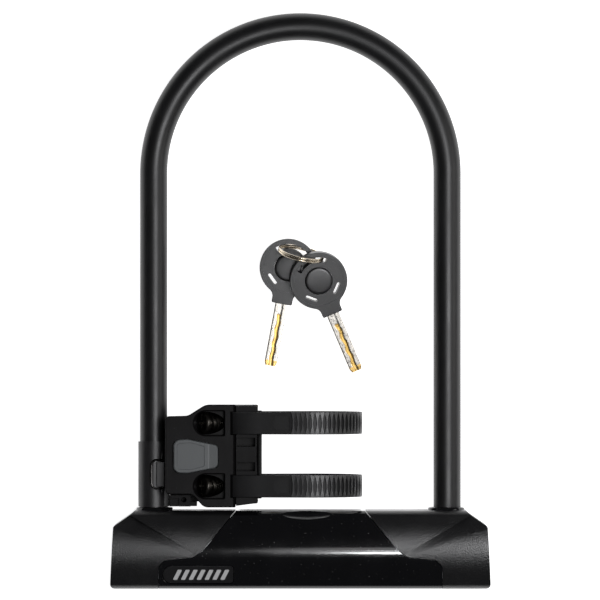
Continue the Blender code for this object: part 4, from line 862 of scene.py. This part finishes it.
def makeStrap(name, level, node):
    s = strap
    front, loop, back = strapLine()
    full = s["thickness"] / 2
    start = s["ribsFrom"]
    line = front + [(start - 0.0002, 0.04903), (start, 0.04905)] + loop + back
    # under the ribs the band is thinner
    first = len(front) + 1
    outer = []
    for i, (x, z) in enumerate(sideways(line, 1.0)):
        ribbed = first <= i < first + len(loop) * s["ribsTo"] * 1.05
        deep = full - s["ribHeight"] if ribbed else full
        outer.append((line[i][0] + (x - line[i][0]) * deep, line[i][1] + (z - line[i][1]) * deep))
    half, edge = s["width"] / 2, s["edge"]
    low, high = level - half, level + half
    rings = []
    for over, under in zip(outer, sideways(line, -full)):
        over, under = Vector(over), Vector(under)
        step = (over - under).normalized() * edge
        a, b = over - step, under + step
        rings.append([(over.x, low + edge, over.y), (over.x, high - edge, over.y), (a.x, high, a.y),
                      (b.x, high, b.y), (under.x, high - edge, under.y), (under.x, low + edge, under.y),
                      (b.x, low, b.y), (a.x, low, a.y)])
    band = loft(name, rings)
    x1, x2, wide = s["recess"]
    bullet = roundedOutline([(x1, level - wide, wide * 0.98), (x2, level - wide, 0.0003),
                             (x2, level + wide, 0.0003), (x1, level + wide, wide * 0.98)], 10)
    cut(band, loft("recessTool", [[(x, y, 0.0478 + (x - x1) * 0.085) for x, y in bullet],
                                  [(x, y, 0.0530) for x, y in bullet]]))
    smoothByAngle(band, 30)
    finishPiece(band, material["strapPlastic"], "bracket", [node])

    reach = [(x, level, z) for x, z in [(start + s["ribPitch"] / 2, 0.0492)]
             + loop[:int(len(loop) * s["ribsTo"])]]
    pattern = ribMesh()
    # the ribs take the lighter copy of the strap plastic, a painted highlight
    ribs = alongLine(name + "Ribs", reach, pattern, s["ribPitch"], material["ribPaintedHighlight"])
    bpy.data.objects.remove(pattern)
    finishPiece(smoothByAngle(ribs, 30), material["ribPaintedHighlight"], "bracket")


worm = {"head": (-0.0612, 0.0402), "tilt": 32, "length": 0.0140, "radius": 0.0054, "root": 0.0041,
        "headHeight": 0.0026, "pitch": 0.0030, "taper": 0.0015, "sides": 48, "rows": 60,
        "headProfile": [(0.0052, 0.0), (0.0058, 0.0001), (0.0063, 0.0005), (0.0066, 0.0011), (0.0066, 0.0023),
                        (0.0064, 0.0026)],
        "cross": (0.0068, 0.0013, 0.0040), "point": (0.0021, 0.0012, 0.0044)}


def makeWorm(name, level, body, node):
    w = worm
    tilt = math.radians(w["tilt"])
    along = Vector((math.cos(tilt), 0, -math.sin(tilt)))
    turn = Vector((0, 0, 1)).rotation_difference(along).to_matrix().to_4x4()
    place = Matrix.Translation((w["head"][0], level, w["head"][1])) @ turn
    angles = [2 * pi * j / w["sides"] for j in range(w["sides"])]
    rings = [[place @ Vector((radius * math.cos(t), radius * math.sin(t), h)) for t in angles]
             for radius, h in w["headProfile"]]
    # the thread, which fades into a tapered tip
    for i in range(w["rows"] + 1):
        h = w["headHeight"] + (w["length"] - w["headHeight"]) * i / w["rows"]
        ring = []
        for t in angles:
            phase = (h / w["pitch"] - t / (2 * pi)) % 1.0
            rise = min(1.0, max(0.0, 2.2 - abs(phase - 0.5) * 6.0))
            radius = w["root"] + (w["radius"] - w["root"]) * rise
            radius -= max(0.0, h - w["length"] + w["taper"]) * 0.9
            ring.append(place @ Vector((radius * math.cos(t), radius * math.sin(t), h)))
        rings.append(ring)
    piece = loft(name, rings)
    # a cross recess with a conical middle
    wide, narrow, deep = [size / 2 for size in w["cross"]]
    arms = [boxMesh("driverTool", (-x, -y, -deep), (x, y, deep), place)
            for x, y in ((wide, narrow), (narrow, wide))]
    shape = bmesh.new()
    bmesh.ops.create_cone(shape, cap_ends=True, segments=24, radius1=w["point"][0], radius2=w["point"][1],
                          depth=w["point"][2], matrix=place)
    cut(piece, *arms, fromBmesh("driverTool", shape))
    weighNormals(smoothByAngle(piece, 38))
    finishPiece(piece, material["screwSteel"], body, [node])


makePlate()
makeButton()
for side, level in bracket["levels"].items():
    makeStrap(side + "Strap", level, side + "_strap")
    makeWorm(side + "Worm", level, side + "_worm", side + "_worm_screw")
print("bracket made")

keySizes = {"headRadius": 0.018, "headThick": 0.0064, "headRound": 0.0023, "discRadius": 0.0084,
            "discThick": 0.0078, "neckEnd": 0.0232, "neckHalf": 0.0065, "neckBevel": 0.0006, "fillet": 0.005,
            "slotRadius": 0.0134, "slotHalf": 0.0015, "slotAngle": 43, "sideSlot": (0.0078, 0.0020, 0.0009),
            "sideRadius": 0.0122, "sideAngle": 44, "partRadius": (0.0153, 0.0158), "partDeep": 0.0004,
            "gap": 0.0003, "tangWay": (0.0045, -0.0100), "bladeHalf": 0.0039, "bladeThick": 0.003,
            "bladeFrom": -0.0104, "tip": -0.0628, "millFrom": 0.0330, "millWave": 0.0011, "millPitch": 0.0088,
            "places": {"key_1": ((-0.0076, 0.1761, 0.0068), -10.5, 4.55),
                       "key_2": ((0.0113, 0.1681, 0.0146), 23.0, 11.4)}}
ringSizes = {"radius": 0.014, "wire": 0.00070, "centre": (0.0004, 0.1846, 0.0148), "heading": -13.2,
             "lean": 75.2, "start": 0.35, "short": 0.12, "jog": 0.6, "sides": 12, "steps": 192}


def keyOutline():
    k = keySizes
    radius, half, fillet = k["headRadius"], k["neckHalf"], k["fillet"]
    # a small concave fillet joins the round head and the straight neck on each side
    x = half + fillet
    y = -math.sqrt((radius + fillet) ** 2 - x * x)
    touch = math.atan2(y, x)
    outline = arc(0, 0, radius, touch, pi - touch, 56)
    outline += list(reversed(arc(-x, y, fillet, 0, math.atan2(-y, x), 8)))
    end, bevel = -k["neckEnd"], k["neckBevel"]
    outline += [(-half, end + bevel), (-half + bevel, end), (half - bevel, end), (half, end + bevel)]
    outline += list(reversed(arc(x, y, fillet, pi - math.atan2(-y, x), pi, 8)))
    return outline


def makeKey(name):
    k = keySizes
    centre, heading, pitch = k["places"][name]
    frameAt = (Matrix.Translation(centre) @ Matrix.Rotation(math.radians(heading), 4, "Z")
               @ Matrix.Rotation(math.radians(pitch), 4, "X"))
    half, gap = k["headThick"] / 2, k["gap"]
    head = prism(name + "Head", keyOutline(), "xy", -half, half)
    roundEdges(head, k["headRound"], 4, 60, lambda p: abs(p.z) > half - 0.0001)
    middle, wide, angle = k["slotRadius"], k["slotHalf"], math.radians(k["slotAngle"])
    slot = arc(0, 0, middle + wide, pi / 2 - angle, pi / 2 + angle, 24)
    slot += arc(0, 0, middle - wide, pi / 2 + angle, pi / 2 - angle, 24)
    seat, (tangHalf, tangEnd), tangDeep = k["discRadius"] + gap, k["tangWay"], k["bladeThick"] / 2 + gap
    cut(head, prism("slotTool", slot, "xy", -0.01, 0.01),
        revolve("seatTool", [(0, -0.01), (seat, -0.01), (seat, 0.01), (0, 0.01)], (0, 0, 0), (0, 0, 1), 64,
                closed=False),
        boxMesh("tangTool", (-tangHalf, -0.03, -tangDeep), (tangHalf, tangEnd, tangDeep)))
    long, tall, end = k["sideSlot"]
    for side in (-1, 1):
        ends = [(long / 2 * x, tall / 2 * y, end) for x, y in ((-1, -1), (1, -1), (1, 1), (-1, 1))]
        tool = prism("sideTool", roundedOutline(ends, 6), "xy", -0.02, 0.02)
        tool.data.transform(Matrix.Rotation(side * math.radians(k["sideAngle"]), 4, "Z")
                            @ Matrix.Translation((0, -k["sideRadius"], 0)))
        cut(head, tool)
    # a fine parting groove between the rim and the face
    inner, outer = k["partRadius"]
    for z in (-1, 1):
        low, high = sorted((z * (half - k["partDeep"]), z * (half + 0.001)))
        cut(head, revolve("partTool", [(outer, low), (outer, high), (inner, high), (inner, low)], (0, 0, 0),
                          (0, 0, 1), 96))
    weighNormals(smoothByAngle(head, 35))

    thick, radius = k["discThick"] / 2, k["discRadius"]
    face = [(0, thick), (radius * 0.4, thick - 0.00003), (radius * 0.8, thick - 0.00012),
            (radius - 0.0006, thick - 0.0002), (radius - 0.0002, thick - 0.0004), (radius, thick - 0.0008),
            (radius, thick - 0.0020), (radius + 0.0002, thick - 0.0022)]
    disc = revolve(name + "Disc", [(r, -z) for r, z in face] + list(reversed(face)), (0, 0, 0), (0, 0, 1), 72,
                   closed=False)

    # a double-sided blade with a dished face and a wavy milled groove, marked for its tint
    rings, marks = [], []
    steps, across = 84, 24
    for i in range(steps + 1):
        y = k["bladeFrom"] + (k["tip"] - k["bladeFrom"]) * i / steps
        left = y - k["tip"]
        wideAt = k["bladeHalf"] * min(1.0, 0.78 + left / 0.0024 * 0.22)
        wave = k["millWave"] * math.sin((y + 0.02) * 2 * pi / k["millPitch"])
        row = []
        for j in range(across + 1):
            x = -wideAt + 2 * wideAt * j / across
            z = k["bladeThick"] / 2
            edge = wideAt - abs(x)
            z -= max(0.0, 0.0005 - edge) * 0.35
            z -= 0.00022 * max(0.0, 1 - (abs(x) / 0.0011) ** 6)
            mill = max(0.0, 1 - (abs(x - wave * 0.45) / 0.0013) ** 4) if left < k["millFrom"] else 0.0
            z -= 0.00014 * mill
            row.append((x, y, z))
            marks.append(min(1.0, mill * 2) if left > 0.0035 else 0.9)
        marks += list(reversed(marks[-across - 1:]))
        rings.append(row + [(x, y, -z) for x, y, z in reversed(row)])
    blade = loft(name + "Blade", rings)
    attribute = blade.data.attributes.new("millCut", "FLOAT", "POINT")
    attribute.data.foreach_set("value", marks)
    weighNormals(smoothByAngle(blade, 35))

    for made, look, slotName, node in ((head, "keyPlastic", "key_plastic", "_head"),
                                       (disc, "keyPlastic", "key_plastic", "_disc"),
                                       (blade, "nickelBlade", "nickel_blade", "_blade")):
        made.data.transform(frameAt)
        finishPiece(made, material[look], name, [name + node])


# a split ring: two turns side by side, with one short jog between them
def makeRing():
    g = ringSizes
    heading, lean = math.radians(g["heading"]), math.radians(g["lean"])
    along = Vector((math.cos(heading), math.sin(heading), 0))
    upright = Vector((math.sin(heading) * math.cos(lean), -math.cos(heading) * math.cos(lean),
                      math.sin(lean)))
    axis = along.cross(upright)
    rings = []
    for i in range(g["steps"] + 1):
        t = g["start"] + (4 * pi - g["short"]) * i / g["steps"]
        blend = min(1.0, max(0.0, (t - g["start"] - 2 * pi + g["jog"] / 2) / g["jog"]))
        blend = blend * blend * (3 - 2 * blend)
        out = along * math.cos(t) + upright * math.sin(t)
        middle = Vector(g["centre"]) + out * g["radius"] + axis * g["wire"] * 1.03 * (2 * blend - 1)
        rings.append([middle + (out * math.cos(a) + axis * math.sin(a)) * g["wire"]
                      for a in [2 * pi * j / g["sides"] for j in range(g["sides"])]])
    ring = loft("splitRing", rings)
    smoothByAngle(ring, 50)
    finishPiece(ring, material["ringWire"], "keyring", ["key_ring"])


makeKey("key_1")
makeKey("key_2")
makeRing()
print("keys made")


# repeats a bar along X with a pitch, and gives it its finish
def rowTree(chosen):
    tree, keys, given = newTree("barRow", (("Count", "Int"), ("Pitch", "Float")))
    offset = addNode(tree, "ShaderNodeCombineXYZ", {"X": given["Pitch"]})
    row = addNode(tree, "GeometryNodeMeshLine", mode="OFFSET")
    tree.links.new(given["Count"], row.inputs["Count"])
    tree.links.new(offset.outputs["Vector"], row.inputs["Offset"])
    copies = addNode(tree, "GeometryNodeInstanceOnPoints",
                     {"Points": row.outputs["Mesh"], "Instance": given["Geometry"]})
    closeTree(tree, copies, chosen)
    return tree, keys


def makeBadge():
    b = badge
    x, wide, half, slant = b["firstX"], b["width"], b["half"], b["slant"]
    corners = [(x - slant, -half, b["round"]), (x - slant + wide, -half, b["round"]),
               (x + slant + wide, half, b["round"]), (x + slant, half, b["round"])]
    bars = prism("badgeBars", roundedOutline(corners, 4), "xy", b["faceZ"], b["faceZ"] + b["thick"])
    tree, (countKey, pitchKey) = rowTree(material["badgeBars"])
    modifier = bars.modifiers.new("row", "NODES")
    modifier.node_group = tree
    modifier[countKey] = b["bars"]
    modifier[pitchKey] = b["pitch"]
    applied(bars)
    bars.data.transform(badgeFrame())
    finishPiece(smoothByAngle(bars, 30), material["badgeBars"], "crossbar")


makeBadge()
print("badge made")

# smaller pieces keep the CAD shape, with softened edges: finish, body, slot, bevel
softPieces = {
    "clamp_collar": ("collarPlastic", "collar", "bracket_plastic", 0.00045),
    "adapter_tongue": ("bracketPlastic", "collar", "bracket_plastic", 0.0004),
    "bracket_base": ("bracketPlastic", "bracket", "bracket_plastic", 0.00035),
    "saddle_pad": ("blackRubber", "bracket", "rubber", 0.0003),
    "badge_plate": ("badgePlate", "crossbar", "badge_plate", 0.0002),
    "keyway_shutter": ("capTexture", "shutter", "matte_black_cap", 0.0002),
    "upper_clamp_screw": ("screwSteel", "collar", "screw_steel", 0.0003),
    "lower_clamp_screw": ("screwSteel", "collar", "screw_steel", 0.0003),
}
for node, (look, body, slotName, width) in softPieces.items():
    finishPiece(softCopy(node, width), material[look], body, [node])
print("small pieces softened")

# every CAD node that is still shown takes a finish of its own
nodeFinish = {"lock_body": "brassWork", "cylinder_shell": "brassWork", "cylinder_plug": "brassWork",
              "crank_disc": "hardenedSteel", "button_spring": "hardenedSteel", "wire_bail": "bailWire",
              "key_escutcheon": "chromeWire"}
for side in ("left", "right"):
    nodeFinish[side + "_leg_stop"] = "blackRubber"
    for part in ("_end_plug", "_leg_guide", "_roll_pin", "_bolt"):
        nodeFinish[side + part] = "hardenedSteel"
for number in range(1, 6):
    nodeFinish["detainer_disc_%d" % number] = "hardenedSteel"
for number in range(1, 5):
    nodeFinish["cover_screw_%d" % number] = "screwSteel"
for node, chosen in nodeFinish.items():
    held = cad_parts[node]
    if not held.material_slots:
        held.data.materials.append(material[chosen])
    for slot in held.material_slots:
        slot.material = material[chosen]
print("frame finishes set")
